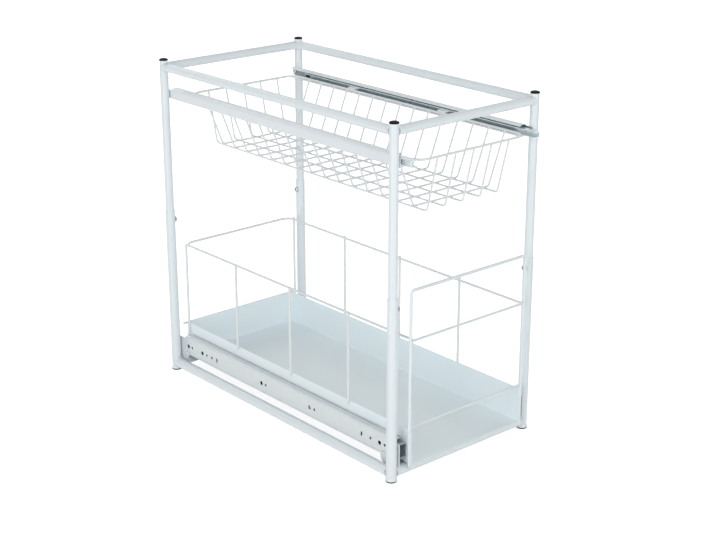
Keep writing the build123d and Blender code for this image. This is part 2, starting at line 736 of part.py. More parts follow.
# Inner members of the upper slides: channels open to the basket.
inner_reach = upper_slide_width + upper_inner_proud
ball_z_upper = upper_race - ball_clearance - upper_ball_r
upper_inner_half = ball_z_upper - upper_ball_r - ball_clearance
with BuildPart() as upper_inner_left:
    with BuildSketch(Plane.XZ.offset(-upper_inner_rear)):
        with Locations((-rail_out_x + (upper_inner_u + inner_reach) / 2, upper_slide_z)):
            Rectangle(inner_reach - upper_inner_u, 2 * upper_inner_half)
        with Locations(
            (-rail_out_x + (upper_inner_u + inner_reach) / 2 + upper_slide_sheet, upper_slide_z)
        ):
            Rectangle(
                inner_reach - upper_inner_u,
                2 * (upper_inner_half - upper_slide_sheet),
                mode=Mode.SUBTRACT,
            )
    extrude(amount=upper_inner_rear - upper_inner_front)
upper_inner_left.part.label = "upper_inner_member_left"
export_step(upper_inner_left.part.moved(to_footprint), "parts/upper_inner_member_left.step")

with BuildPart() as upper_inner_right:
    mirror(upper_inner_left.part, about=Plane.YZ)
upper_inner_right.part.label = "upper_inner_member_right"
export_step(upper_inner_right.part.moved(to_footprint), "parts/upper_inner_member_right.step")

# Tabs: flat plates from under the channel's upper flange to the top of the rim.
tab_bottom = upper_slide_z + rim_r
tab_top = upper_slide_z + upper_inner_half - upper_slide_sheet
tab_outer_x = rail_out_x - inner_reach + tab_inset
tab_inner_x = rim_half_width - tab_rim_lap
with BuildPart() as basket_tabs:
    with BuildSketch(Plane.XY.offset(tab_bottom)):
        with Locations(
            *[(sign * (tab_outer_x + tab_inner_x) / 2, y) for sign in (-1, 1) for y in tab_y]
        ):
            Rectangle(tab_outer_x - tab_inner_x, tab_width)
    extrude(amount=tab_top - tab_bottom)
    chamfer(basket_tabs.edges().filter_by(Axis.Z), tab_corner)
basket_tabs.part.label = "basket_tabs"
export_step(basket_tabs.part.moved(to_footprint), "parts/basket_tabs.step")
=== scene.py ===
import logging
import math
from dataclasses import dataclass, field
from enum import Enum
from typing import Iterable, Sequence

import bmesh
import bpy
from mathutils import Matrix, Vector


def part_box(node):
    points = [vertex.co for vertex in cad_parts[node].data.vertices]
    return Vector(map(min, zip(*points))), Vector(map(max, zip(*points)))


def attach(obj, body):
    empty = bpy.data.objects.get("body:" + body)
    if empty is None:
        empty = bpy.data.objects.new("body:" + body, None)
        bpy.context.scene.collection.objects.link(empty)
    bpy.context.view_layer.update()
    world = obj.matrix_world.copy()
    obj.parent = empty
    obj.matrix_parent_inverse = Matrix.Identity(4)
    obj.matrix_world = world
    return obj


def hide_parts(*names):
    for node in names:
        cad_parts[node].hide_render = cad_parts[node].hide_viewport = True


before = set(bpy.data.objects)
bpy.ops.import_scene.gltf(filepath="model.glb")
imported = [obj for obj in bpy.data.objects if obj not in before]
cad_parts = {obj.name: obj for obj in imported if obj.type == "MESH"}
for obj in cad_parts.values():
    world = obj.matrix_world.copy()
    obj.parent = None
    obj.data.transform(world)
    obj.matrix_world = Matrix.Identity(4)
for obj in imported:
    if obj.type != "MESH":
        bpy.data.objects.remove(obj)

# Studio scene of the two-tier pull-out frame: round tube, a welded wire basket
# above, a sheet tray with a wire gallery below. Lengths in the classes are in
# millimetres, measured from the middle of the four posts, as they are drawn.

LOG = logging.getLogger("pull_out_frame")
MM = 0.001


class Body(Enum):
    """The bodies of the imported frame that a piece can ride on."""

    ROOT = "root"
    UPPER = "upper_frame"
    TRAY = "tray"
    BASKET = "basket"
    LOWER_CAGE_LEFT = "lower_cage_left"
    LOWER_CAGE_RIGHT = "lower_cage_right"
    UPPER_CAGE_LEFT = "upper_cage_left"
    UPPER_CAGE_RIGHT = "upper_cage_right"


class Slot(Enum):
    """The record's material slots."""

    POWDER = "white_powder_coat"
    GALVANISED = "galvanised_sheet"
    ZINC = "bright_zinc"
    CAGE = "cage_steel"
    BALL = "ball_steel"
    BLACK = "black_plastic"


class Side(Enum):
    """Left and right of the frame, seen from the pull side."""

    LEFT = -1
    RIGHT = 1

    @property
    def word(self) -> str:
        """The side's word in a node's name."""
        return self.name.lower()


# ---------------------------------------------------------------- placing
_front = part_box("lower_post_front_left")
_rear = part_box("lower_post_rear_left")
POST_MIDDLE_Y = (_front[0].y + _front[1].y + _rear[0].y + _rear[1].y) / 4


def at(x: float, y: float, z: float) -> Vector:
    """A drawn place in millimetres, as a point of the frame in metres.

    Args:
        x: Millimetres to the right of the middle.
        y: Millimetres behind the middle of the posts.
        z: Millimetres above the floor.

    Returns:
        The same place in metres.
    """
    return Vector((x * MM, y * MM + POST_MIDDLE_Y, z * MM))


def bent_path(
    points: Sequence[Vector], radii: Sequence[float], closed: bool = False, steps: int = 8
) -> list[Vector]:
    """Rounds the corners of a wire's route.

    Args:
        points: Corner points of the route, in metres.
        radii: A bend radius for each point, in millimetres; 0 leaves it.
        closed: Whether the last point joins the first.
        steps: Runs in each bend.

    Returns:
        The points of the route with its bends.
    """
    path: list[Vector] = []
    count = len(points)
    for k, corner in enumerate(points):
        radius = radii[k] * MM
        if radius <= 0 or (not closed and k in (0, count - 1)):
            path.append(corner.copy())
            continue
        back = (points[k - 1] - corner).normalized()
        ahead = (points[(k + 1) % count] - corner).normalized()
        half = back.angle(ahead) / 2
        centre = corner + (back + ahead).normalized() * (radius / math.sin(half))
        start = corner + back * (radius / math.tan(half)) - centre
        end = corner + ahead * (radius / math.tan(half)) - centre
        swing = start.angle(end)
        axis = start.cross(end).normalized()
        for j in range(steps + 1):
            path.append(centre + Matrix.Rotation(swing * j / steps, 3, axis) @ start)
    return path


def sheet_outline(
    points: Sequence[tuple[float, float]], radii: Sequence[float], sheet: float, steps: int = 5
) -> list[tuple[float, float]]:
    """The closed outline of bent sheet metal seen end on.

    Args:
        points: Corners of the sheet's middle line, in millimetres.
        radii: Bend radius of the middle line at each corner.
        sheet: Thickness of the sheet.
        steps: Runs in each bend.

    Returns:
        The outline's corners, in millimetres.
    """
    line = bent_path([Vector((a, b, 0)) * MM for a, b in points], radii, steps=steps)
    line = [p / MM for p in line]
    left: list[tuple[float, float]] = []
    right: list[tuple[float, float]] = []
    for k, p in enumerate(line):
        before = (p - line[k - 1]).normalized() if k else (line[1] - p).normalized()
        after = (line[k + 1] - p).normalized() if k + 1 < len(line) else before
        along = (before + after).normalized()
        across = Vector((-along.y, along.x, 0)) * (sheet / 2 / max(0.2, along.dot(after)))
        left.append((p.x + across.x, p.y + across.y))
        right.append((p.x - across.x, p.y - across.y))
    return left + right[::-1]


# ---------------------------------------------------------------- meshes
def finish_mesh(name: str, bm: bmesh.types.BMesh, material: bpy.types.Material, crease: float = 35.0) -> bpy.types.Object:
    """Turns a working mesh into a piece with outward faces and soft shading.

    Args:
        name: Name of the piece.
        bm: The working mesh, which is freed.
        material: The piece's finish.
        crease: Edges sharper than this many degrees stay sharp.

    Returns:
        The new object, linked to the scene.
    """
    bmesh.ops.remove_doubles(bm, verts=bm.verts, dist=1e-7)
    bmesh.ops.recalc_face_normals(bm, faces=bm.faces)
    for face in bm.faces:
        face.smooth = True
    for edge in bm.edges:
        edge.smooth = len(edge.link_faces) == 2 and edge.calc_face_angle(0) < math.radians(crease)
    mesh = bpy.data.meshes.new(name)
    bm.to_mesh(mesh)
    bm.free()
    mesh.materials.append(material)
    piece = bpy.data.objects.new(name, mesh)
    bpy.context.scene.collection.objects.link(piece)
    return piece


def add_ring_shell(bm: bmesh.types.BMesh, rings: Sequence[Sequence[Vector]], loop: bool = False) -> None:
    """Skins a row of equal rings of points and closes both ends.

    Args:
        bm: The mesh to add to.
        rings: Rings of points, each with the same count.
        loop: Whether the last ring joins the first, with no ends.
    """
    rows = [[bm.verts.new(p) for p in ring] for ring in rings]
    count = len(rows[0])
    spans = len(rows) if loop else len(rows) - 1
    for k in range(spans):
        here, there = rows[k], rows[(k + 1) % len(rows)]
        for j in range(count):
            bm.faces.new((here[j], here[(j + 1) % count], there[(j + 1) % count], there[j]))
    if not loop:
        bm.faces.new(rows[0][::-1])
        bm.faces.new(rows[-1])


def add_turned(bm: bmesh.types.BMesh, profile: Sequence[tuple[float, float]], place: Matrix, sides: int = 40) -> None:
    """Turns a closed profile about its own Z axis.

    Args:
        bm: The mesh to add to.
        profile: Corners as radius and height in millimetres, in order round the section.
        place: Where the axis stands, in metres.
        sides: Steps round the axis.
    """
    rings = []
    for k in range(sides):
        turn = 2 * math.pi * k / sides
        rings.append([place @ Vector((r * MM * math.cos(turn), r * MM * math.sin(turn), h * MM)) for r, h in profile])
    add_ring_shell(bm, rings, loop=True)
    bmesh.ops.remove_doubles(bm, verts=bm.verts, dist=1e-7)
    bmesh.ops.dissolve_degenerate(bm, dist=1e-7, edges=bm.edges)


def add_extrusion(bm: bmesh.types.BMesh, outline: Sequence[tuple[float, float]], y_from: float, y_to: float) -> None:
    """Runs a section along Y.

    Args:
        bm: The mesh to add to.
        outline: Section corners as x and z in millimetres.
        y_from: Front end of the run.
        y_to: Rear end of the run.
    """
    add_ring_shell(bm, [[at(x, y, z) for x, z in outline] for y in (y_from, y_to)])


def add_plate(bm: bmesh.types.BMesh, low: Sequence[float], high: Sequence[float], rounding: float) -> None:
    """Adds a flat plate with softened edges.

    Args:
        bm: The mesh to add to.
        low: Lowest corner, in millimetres.
        high: Highest corner, in millimetres.
        rounding: Radius of its edges.
    """
    made = bmesh.ops.create_cube(bm, size=1.0)["verts"]
    middle = (at(*low) + at(*high)) / 2
    size = at(*high) - at(*low)
    for vert in made:
        vert.co = middle + Vector((vert.co.x * size.x, vert.co.y * size.y, vert.co.z * size.z))
    edges = list({e for v in made for e in v.link_edges})
    bmesh.ops.bevel(bm, geom=edges, offset=rounding * MM, segments=3, affect="EDGES", profile=0.5)


def cut_holes(piece: bpy.types.Object, cutter: bpy.types.Object) -> None:
    """Takes the cutter's solids out of a piece and removes the cutter.

    Args:
        piece: The piece to cut.
        cutter: Closed solids that stand through it.
    """
    cut = piece.modifiers.new("holes", "BOOLEAN")
    cut.operation = "DIFFERENCE"
    cut.solver = "EXACT"
    cut.object = cutter
    plain = bpy.data.meshes.new_from_object(piece.evaluated_get(bpy.context.evaluated_depsgraph_get()))
    piece.modifiers.clear()
    old = piece.data
    piece.data = plain
    plain.name = old.name
    bpy.data.meshes.remove(old)
    bpy.data.objects.remove(cutter)


def even_shading(piece: bpy.types.Object) -> None:
    """Lets a sheet's flat faces shade flat and keeps the softness in its bends."""
    weigh = piece.modifiers.new("even shading", "WEIGHTED_NORMAL")
    weigh.mode = "FACE_AREA"
    weigh.weight = 100
    weigh.keep_sharp = True
    plain = bpy.data.meshes.new_from_object(piece.evaluated_get(bpy.context.evaluated_depsgraph_get()))
    piece.modifiers.clear()
    old = piece.data
    piece.data = plain
    plain.name = old.name
    bpy.data.meshes.remove(old)


def dress(piece: bpy.types.Object, body: Body, slot: Slot, *nodes: str) -> None:
    """Gives a piece its body and hides the CAD nodes that it stands for.

    Args:
        piece: The finished piece.
        body: What it moves with.
        slot: The record's finish; not used.
        nodes: CAD nodes that it stands for.
    """
    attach(piece, body.value)
    if nodes:
        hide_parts(*nodes)
    LOG.info("%s on %s, %d faces", piece.name, body.value, len(piece.data.polygons))


# ---------------------------------------------------------------- geometry nodes
@dataclass
class NodeTree:
    """A geometry node tree with named inputs, which ends in realised geometry with a finish."""

    name: str
    tree: bpy.types.NodeTree = field(init=False)
    sockets: dict[str, str] = field(init=False, default_factory=dict)

    def __post_init__(self) -> None:
        """Starts the tree with geometry in and geometry out."""
        self.tree = bpy.data.node_groups.new(self.name, "GeometryNodeTree")
        self.tree.interface.new_socket("Geometry", in_out="INPUT", socket_type="NodeSocketGeometry")
        self.tree.interface.new_socket("Geometry", in_out="OUTPUT", socket_type="NodeSocketGeometry")

    def input(self, name: str, kind: str) -> None:
        """Adds a named input of a socket kind such as NodeSocketFloat."""
        made = self.tree.interface.new_socket(name, in_out="INPUT", socket_type=kind)
        self.sockets[name] = made.identifier

    def node(self, kind: str, **settings: object) -> bpy.types.Node:
        """Adds a node and sets its properties.

        Args:
            kind: Blender's name of the node type.
            settings: Properties of the node.

        Returns:
            The new node.
        """
        made = self.tree.nodes.new(kind)
        for key, value in settings.items():
            setattr(made, key, value)
        return made

    def link(self, output: bpy.types.NodeSocket, entry: bpy.types.NodeSocket) -> None:
        """Joins two sockets."""
        self.tree.links.new(output, entry)

    def close(self, geometry: bpy.types.NodeSocket, entry: bpy.types.Node) -> None:
        """Ends the tree: smooth shading, real geometry, finish.

        Args:
            geometry: The last geometry socket.
            entry: The group input node, which has the Finish input.
        """
        real = self.node("GeometryNodeRealizeInstances")
        smooth = self.node("GeometryNodeSetShadeSmooth")
        finish = self.node("GeometryNodeSetMaterial")
        out = self.node("NodeGroupOutput")
        self.link(geometry, real.inputs["Geometry"])
        self.link(real.outputs["Geometry"], smooth.inputs[0])
        self.link(smooth.outputs[0], finish.inputs["Geometry"])
        self.link(entry.outputs["Finish"], finish.inputs["Material"])
        self.link(finish.outputs["Geometry"], out.inputs["Geometry"])

    def bake(self, source: bpy.types.Object, name: str, crease: float = 50.0, **inputs: object) -> bpy.types.Object:
        """Runs the tree on an object and keeps the result as a plain mesh.

        Args:
            source: The object that carries the curve, mesh or points; it is removed.
            name: Name of the plain piece.
            crease: Edges sharper than this many degrees stay sharp.
            inputs: Values by input name, with _ for a space.

        Returns:
            The new piece.
        """
        run = source.modifiers.new(self.name, "NODES")
        run.node_group = self.tree
        for key, value in inputs.items():
            run[self.sockets[key.replace("_", " ")]] = value
        ready = source.evaluated_get(bpy.context.evaluated_depsgraph_get())
        mesh = bpy.data.meshes.new_from_object(ready)
        source.modifiers.clear()
        bpy.data.objects.remove(source)
        bm = bmesh.new()
        bm.from_mesh(mesh)
        piece = finish_mesh(name, bm, inputs["Finish"], crease)
        bpy.data.meshes.remove(mesh)
        return piece


def wire_tree() -> NodeTree:
    """Round wire along a curve.

    Returns:
        A tree with the inputs Wire radius, Sides and Finish.
    """
    made = NodeTree("Wire along its route")
    made.input("Wire radius", "NodeSocketFloat")
    made.input("Sides", "NodeSocketInt")
    made.input("Finish", "NodeSocketMaterial")
    entry = made.node("NodeGroupInput")
    ring = made.node("GeometryNodeCurvePrimitiveCircle")
    skin = made.node("GeometryNodeCurveToMesh")
    made.link(entry.outputs["Wire radius"], ring.inputs["Radius"])
    made.link(entry.outputs["Sides"], ring.inputs["Resolution"])
    made.link(entry.outputs["Geometry"], skin.inputs["Curve"])
    made.link(ring.outputs["Curve"], skin.inputs["Profile Curve"])
    skin.inputs["Fill Caps"].default_value = True
    made.close(skin.outputs["Mesh"], entry)
    return made


def wire_row_tree() -> NodeTree:
    """One bent wire, repeated in a straight row.

    Returns:
        A tree with the inputs Wire radius, Sides, Count, Pitch and Finish.
    """
    made = NodeTree("Row of bent wires")
    made.input("Wire radius", "NodeSocketFloat")
    made.input("Sides", "NodeSocketInt")
    made.input("Count", "NodeSocketInt")
    made.input("Pitch", "NodeSocketVector")
    made.input("Finish", "NodeSocketMaterial")
    entry = made.node("NodeGroupInput")
    ring = made.node("GeometryNodeCurvePrimitiveCircle")
    skin = made.node("GeometryNodeCurveToMesh")
    line = made.node("GeometryNodeMeshLine", mode="OFFSET")
    row = made.node("GeometryNodeInstanceOnPoints")
    made.link(entry.outputs["Wire radius"], ring.inputs["Radius"])
    made.link(entry.outputs["Sides"], ring.inputs["Resolution"])
    made.link(entry.outputs["Geometry"], skin.inputs["Curve"])
    made.link(ring.outputs["Curve"], skin.inputs["Profile Curve"])
    skin.inputs["Fill Caps"].default_value = True
    made.link(entry.outputs["Count"], line.inputs["Count"])
    made.link(entry.outputs["Pitch"], line.inputs["Offset"])
    made.link(line.outputs["Mesh"], row.inputs["Points"])
    made.link(skin.outputs["Mesh"], row.inputs["Instance"])
    made.close(row.outputs["Instances"], entry)
    return made


def scatter_tree() -> NodeTree:
    """A small part set at each point, turned by the points' turn attribute.

    Returns:
        A tree with the inputs Part and Finish.
    """
    made = NodeTree("Small parts at their places")
    made.input("Part", "NodeSocketObject")
    made.input("Finish", "NodeSocketMaterial")
    entry = made.node("NodeGroupInput")
    part = made.node("GeometryNodeObjectInfo")
    turn = made.node("GeometryNodeInputNamedAttribute", data_type="FLOAT_VECTOR")
    turn.inputs["Name"].default_value = "turn"
    angle = made.node("FunctionNodeEulerToRotation")
    row = made.node("GeometryNodeInstanceOnPoints")
    made.link(entry.outputs["Part"], part.inputs["Object"])
    made.link(entry.outputs["Geometry"], row.inputs["Points"])
    made.link(part.outputs["Geometry"], row.inputs["Instance"])
    made.link(turn.outputs["Attribute"], angle.inputs["Euler"])
    made.link(angle.outputs["Rotation"], row.inputs["Rotation"])
    made.close(row.outputs["Instances"], entry)
    return made


@dataclass
class Workshop:
    """The node trees, and the ways the pieces use them."""

    wire: NodeTree = field(default_factory=wire_tree)
    wire_row: NodeTree = field(default_factory=wire_row_tree)
    scatter: NodeTree = field(default_factory=scatter_tree)

    @staticmethod
    def curve(routes: Iterable[tuple[Sequence[Vector], bool]]) -> bpy.types.Object:
        """Makes a curve object with one line for each route.

        Args:
            routes: Points in metres, and whether the route closes on itself.

        Returns:
            The curve object.
        """
        data = bpy.data.curves.new("route", "CURVE")
        data.dimensions = "3D"
        for points, closed in routes:
            line = data.splines.new("POLY")
            line.points.add(len(points) - 1)
            for spot, p in zip(line.points, points):
                spot.co = (p.x, p.y, p.z, 1.0)
            line.use_cyclic_u = closed
        made = bpy.data.objects.new("route", data)
        bpy.context.scene.collection.objects.link(made)
        return made

    def wires(
        self, name: str, routes: Iterable[tuple[Sequence[Vector], bool]], diameter: float,
        material: bpy.types.Material, sides: int = 16,
    ) -> bpy.types.Object:
        """Bends round wire along its routes.

        Args:
            name: Name of the piece.
            routes: Points in metres, and whether the route closes on itself.
            diameter: Wire diameter in millimetres.
            material: The piece's finish.
            sides: Facets round the wire.

        Returns:
            The wire piece.
        """
        return self.wire.bake(
            self.curve(routes), name, Wire_radius=diameter / 2 * MM, Sides=sides, Finish=material
        )

    def row(
        self, name: str, route: Sequence[Vector], diameter: float, count: int, pitch: Vector,
        material: bpy.types.Material, sides: int = 12,
    ) -> bpy.types.Object:
        """Repeats one bent wire in a row.

        Args:
            name: Name of the piece.
            route: Points of the first wire, in metres.
            diameter: Wire diameter in millimetres.
            count: Number of wires.
            pitch: Step from one wire to the next, in metres.
            material: The piece's finish.
            sides: Facets round the wire.

        Returns:
            The row as one piece.
        """
        return self.wire_row.bake(
            self.curve([(route, False)]), name, Wire_radius=diameter / 2 * MM, Sides=sides,
            Count=count, Pitch=pitch, Finish=material,
        )

    def set_out(
        self, name: str, part: bpy.types.Object, places: Sequence[tuple[Vector, tuple[float, float, float]]],
        material: bpy.types.Material, crease: float = 50.0,
    ) -> bpy.types.Object:
        """Sets a small part at each place.

        Args:
            name: Name of the piece.
            part: The small part, made at the origin; it is removed afterwards.
            places: Points in metres, each with its turn as Euler angles.
            material: The piece's finish.
            crease: Edges sharper than this many degrees stay sharp.

        Returns:
            All the parts as one piece.
        """
        mesh = bpy.data.meshes.new("places")
        mesh.from_pydata([p for p, _ in places], [], [])
        turns = mesh.attributes.new("turn", "FLOAT_VECTOR", "POINT")
        for k, (_, turn) in enumerate(places):
            turns.data[k].vector = turn
        points = bpy.data.objects.new("places", mesh)
        bpy.context.scene.collection.objects.link(points)
        made = self.scatter.bake(points, name, crease, Part=part, Finish=material)
        bpy.data.objects.remove(part)
        return made


# ---------------------------------------------------------------- shader effects
@dataclass(frozen=True)
class Effect:
    """A shader node group that several finishes share."""

    name: str
    inputs: tuple[tuple[str, str, float], ...]
    outputs: tuple[tuple[str, str], ...]

    def start(self) -> tuple[bpy.types.NodeTree, bpy.types.Node, bpy.types.Node]:
        """Makes the group with its sockets.

        Returns:
            The group, its input node and its output node.
        """
        tree = bpy.data.node_groups.new(self.name, "ShaderNodeTree")
        for name, kind, value in self.inputs:
            made = tree.interface.new_socket(name, in_out="INPUT", socket_type=kind)
            made.default_value = value
        for name, kind in self.outputs:
            tree.interface.new_socket(name, in_out="OUTPUT", socket_type=kind)
        return tree, tree.nodes.new("NodeGroupInput"), tree.nodes.new("NodeGroupOutput")


def grain_effect() -> bpy.types.NodeTree:
    """Fine even grain: the orange peel of powder coat, or moulded plastic.

    Returns:
        A group with Scale and Contrast in, Height and Shade out.
    """
    tree, entry, out = Effect(
        "Fine grain",
        (("Scale", "NodeSocketFloat", 600.0), ("Contrast", "NodeSocketFloat", 1.0)),
        (("Height", "NodeSocketFloat"), ("Shade", "NodeSocketFloat")),
    ).start()
    place = tree.nodes.new("ShaderNodeTexCoord")
    fine = tree.nodes.new("ShaderNodeTexNoise")
    fine.inputs["Detail"].default_value = 2.0
    broad = tree.nodes.new("ShaderNodeTexNoise")
    broad.inputs["Scale"].default_value = 14.0
    broad.inputs["Detail"].default_value = 3.0
    lift = tree.nodes.new("ShaderNodeMath")
    lift.operation = "MULTIPLY"
    links = tree.links
    links.new(place.outputs["Object"], fine.inputs["Vector"])
    links.new(place.outputs["Object"], broad.inputs["Vector"])
    links.new(entry.outputs["Scale"], fine.inputs["Scale"])
    links.new(fine.outputs["Fac"], lift.inputs[0])
    links.new(entry.outputs["Contrast"], lift.inputs[1])
    links.new(lift.outputs["Value"], out.inputs["Height"])
    links.new(broad.outputs["Fac"], out.inputs["Shade"])
    return tree


def rolled_effect() -> bpy.types.NodeTree:
    """Long faint streaks along Y, as rolled or brushed steel has.

    Returns:
        A group with Scale in, Streak out.
    """
    tree, entry, out = Effect(
        "Rolled streaks", (("Scale", "NodeSocketFloat", 1.0),), (("Streak", "NodeSocketFloat"),)
    ).start()
    place = tree.nodes.new("ShaderNodeTexCoord")
    pull = tree.nodes.new("ShaderNodeMapping")
    pull.inputs["Scale"].default_value = (900.0, 14.0, 900.0)
    noise = tree.nodes.new("ShaderNodeTexNoise")
    noise.inputs["Detail"].default_value = 2.0
    tree.links.new(place.outputs["Object"], pull.inputs["Vector"])
    tree.links.new(pull.outputs["Vector"], noise.inputs["Vector"])
    tree.links.new(entry.outputs["Scale"], noise.inputs["Scale"])
    tree.links.new(noise.outputs["Fac"], out.inputs["Streak"])
    return tree


def spangle_effect() -> bpy.types.NodeTree:
    """The crystal patches of a hot-dipped zinc skin.

    Returns:
        A group with Scale in, Patch out.
    """
    tree, entry, out = Effect(
        "Zinc spangle", (("Scale", "NodeSocketFloat", 220.0),), (("Patch", "NodeSocketFloat"),)
    ).start()
    place = tree.nodes.new("ShaderNodeTexCoord")
    cells = tree.nodes.new("ShaderNodeTexVoronoi")
    grey = tree.nodes.new("ShaderNodeSeparateColor")
    tree.links.new(place.outputs["Object"], cells.inputs["Vector"])
    tree.links.new(entry.outputs["Scale"], cells.inputs["Scale"])
    tree.links.new(cells.outputs["Color"], grey.inputs["Color"])
    tree.links.new(grey.outputs["Red"], out.inputs["Patch"])
    return tree


def handling_effect() -> bpy.types.NodeTree:
    """Uneven gloss where hands, packing and dust have touched the surface.

    Returns:
        A group with Scale and Share in, Mask out.
    """
    tree, entry, out = Effect(
        "Handling marks",
        (("Scale", "NodeSocketFloat", 30.0), ("Share", "NodeSocketFloat", 0.5)),
        (("Mask", "NodeSocketFloat"),),
    ).start()
    place = tree.nodes.new("ShaderNodeTexCoord")
    noise = tree.nodes.new("ShaderNodeTexNoise")
    noise.inputs["Detail"].default_value = 5.0
    noise.inputs["Roughness"].default_value = 0.6
    step = tree.nodes.new("ShaderNodeMapRange")
    step.inputs["From Min"].default_value = 0.42
    step.inputs["From Max"].default_value = 0.68
    tree.links.new(place.outputs["Object"], noise.inputs["Vector"])
    tree.links.new(entry.outputs["Scale"], noise.inputs["Scale"])
    tree.links.new(noise.outputs["Fac"], step.inputs["Value"])
    tree.links.new(entry.outputs["Share"], step.inputs["To Max"])
    tree.links.new(step.outputs["Result"], out.inputs["Mask"])
    return tree


def channel_effect() -> bpy.types.NodeTree:
    """Painted shade deep in a slide's channel, by how near a place lies to the channel's middle; the front ends at the
    pull side get no painted shade.

    Returns:
        A group with Bright at and Dark at in, Depth out.
    """
    tree, entry, out = Effect(
        "Depth in the channel",
        (("Bright at", "NodeSocketFloat", 0.094), ("Dark at", "NodeSocketFloat", 0.1)),
        (("Depth", "NodeSocketFloat"),),
    ).start()
    # Painted shade: Depth rises from the Bright at distance to the Dark at distance, and is held off the front ends.
    place = tree.nodes.new("ShaderNodeTexCoord")
    parts = tree.nodes.new("ShaderNodeSeparateXYZ")
    size = tree.nodes.new("ShaderNodeMath")
    size.operation = "ABSOLUTE"
    step = tree.nodes.new("ShaderNodeMapRange")
    front_unshaded = tree.nodes.new("ShaderNodeMapRange")
    front_unshaded.inputs["From Min"].default_value = -0.2
    front_unshaded.inputs["From Max"].default_value = -0.19
    both = tree.nodes.new("ShaderNodeMath")
    both.operation = "MULTIPLY"
    tree.links.new(place.outputs["Object"], parts.inputs["Vector"])
    tree.links.new(parts.outputs["Y"], front_unshaded.inputs["Value"])
    tree.links.new(parts.outputs["X"], size.inputs[0])
    tree.links.new(size.outputs["Value"], step.inputs["Value"])
    tree.links.new(entry.outputs["Bright at"], step.inputs["From Min"])
    tree.links.new(entry.outputs["Dark at"], step.inputs["From Max"])
    tree.links.new(step.outputs["Result"], both.inputs[0])
    tree.links.new(front_unshaded.outputs["Result"], both.inputs[1])
    tree.links.new(both.outputs["Value"], out.inputs["Depth"])
    return tree


def bare_inside_effect() -> bpy.types.NodeTree:
    """Painted shade inside the white rails' channel, bounded by the middle of their bent sheet.

    Returns:
        A group with Corner radius in, Inside out.
    """
    tree, entry, out = Effect(
        "Bare inside of a rail", (("Corner radius", "NodeSocketFloat", 0.004),), (("Inside", "NodeSocketFloat"),)
    ).start()
    # Painted shade: Inside is 1 within a rounded box round the rail's channel, where the dark tone is laid.
    place = tree.nodes.new("ShaderNodeTexCoord")
    parts = tree.nodes.new("ShaderNodeSeparateXYZ")
    size = tree.nodes.new("ShaderNodeMath")
    size.operation = "ABSOLUTE"
    flat = tree.nodes.new("ShaderNodeCombineXYZ")
    test = tree.nodes.new("ShaderNodeMath")
    test.operation = "LESS_THAN"
    tree.links.new(place.outputs["Object"], parts.inputs["Vector"])
    tree.links.new(parts.outputs["X"], size.inputs[0])
    tree.links.new(size.outputs["Value"], flat.inputs["X"])
    tree.links.new(parts.outputs["Z"], flat.inputs["Y"])
    last = flat.outputs["Vector"]
    for operation, amount in (
        ("SUBTRACT", (0.09893, 0.382, 0.0)), ("ABSOLUTE", None), ("SUBTRACT", (0.001, 0.003, 0.0)), ("MAXIMUM", (0.0, 0.0, 0.0)),
    ):
        step = tree.nodes.new("ShaderNodeVectorMath")
        step.operation = operation
        if amount is not None:
            step.inputs[1].default_value = amount
        tree.links.new(last, step.inputs[0])
        last = step.outputs["Vector"]
    away = tree.nodes.new("ShaderNodeVectorMath")
    away.operation = "LENGTH"
    tree.links.new(last, away.inputs[0])
    tree.links.new(away.outputs["Value"], test.inputs[0])
    tree.links.new(entry.outputs["Corner radius"], test.inputs[1])
    tree.links.new(test.outputs["Value"], out.inputs["Inside"])
    return tree


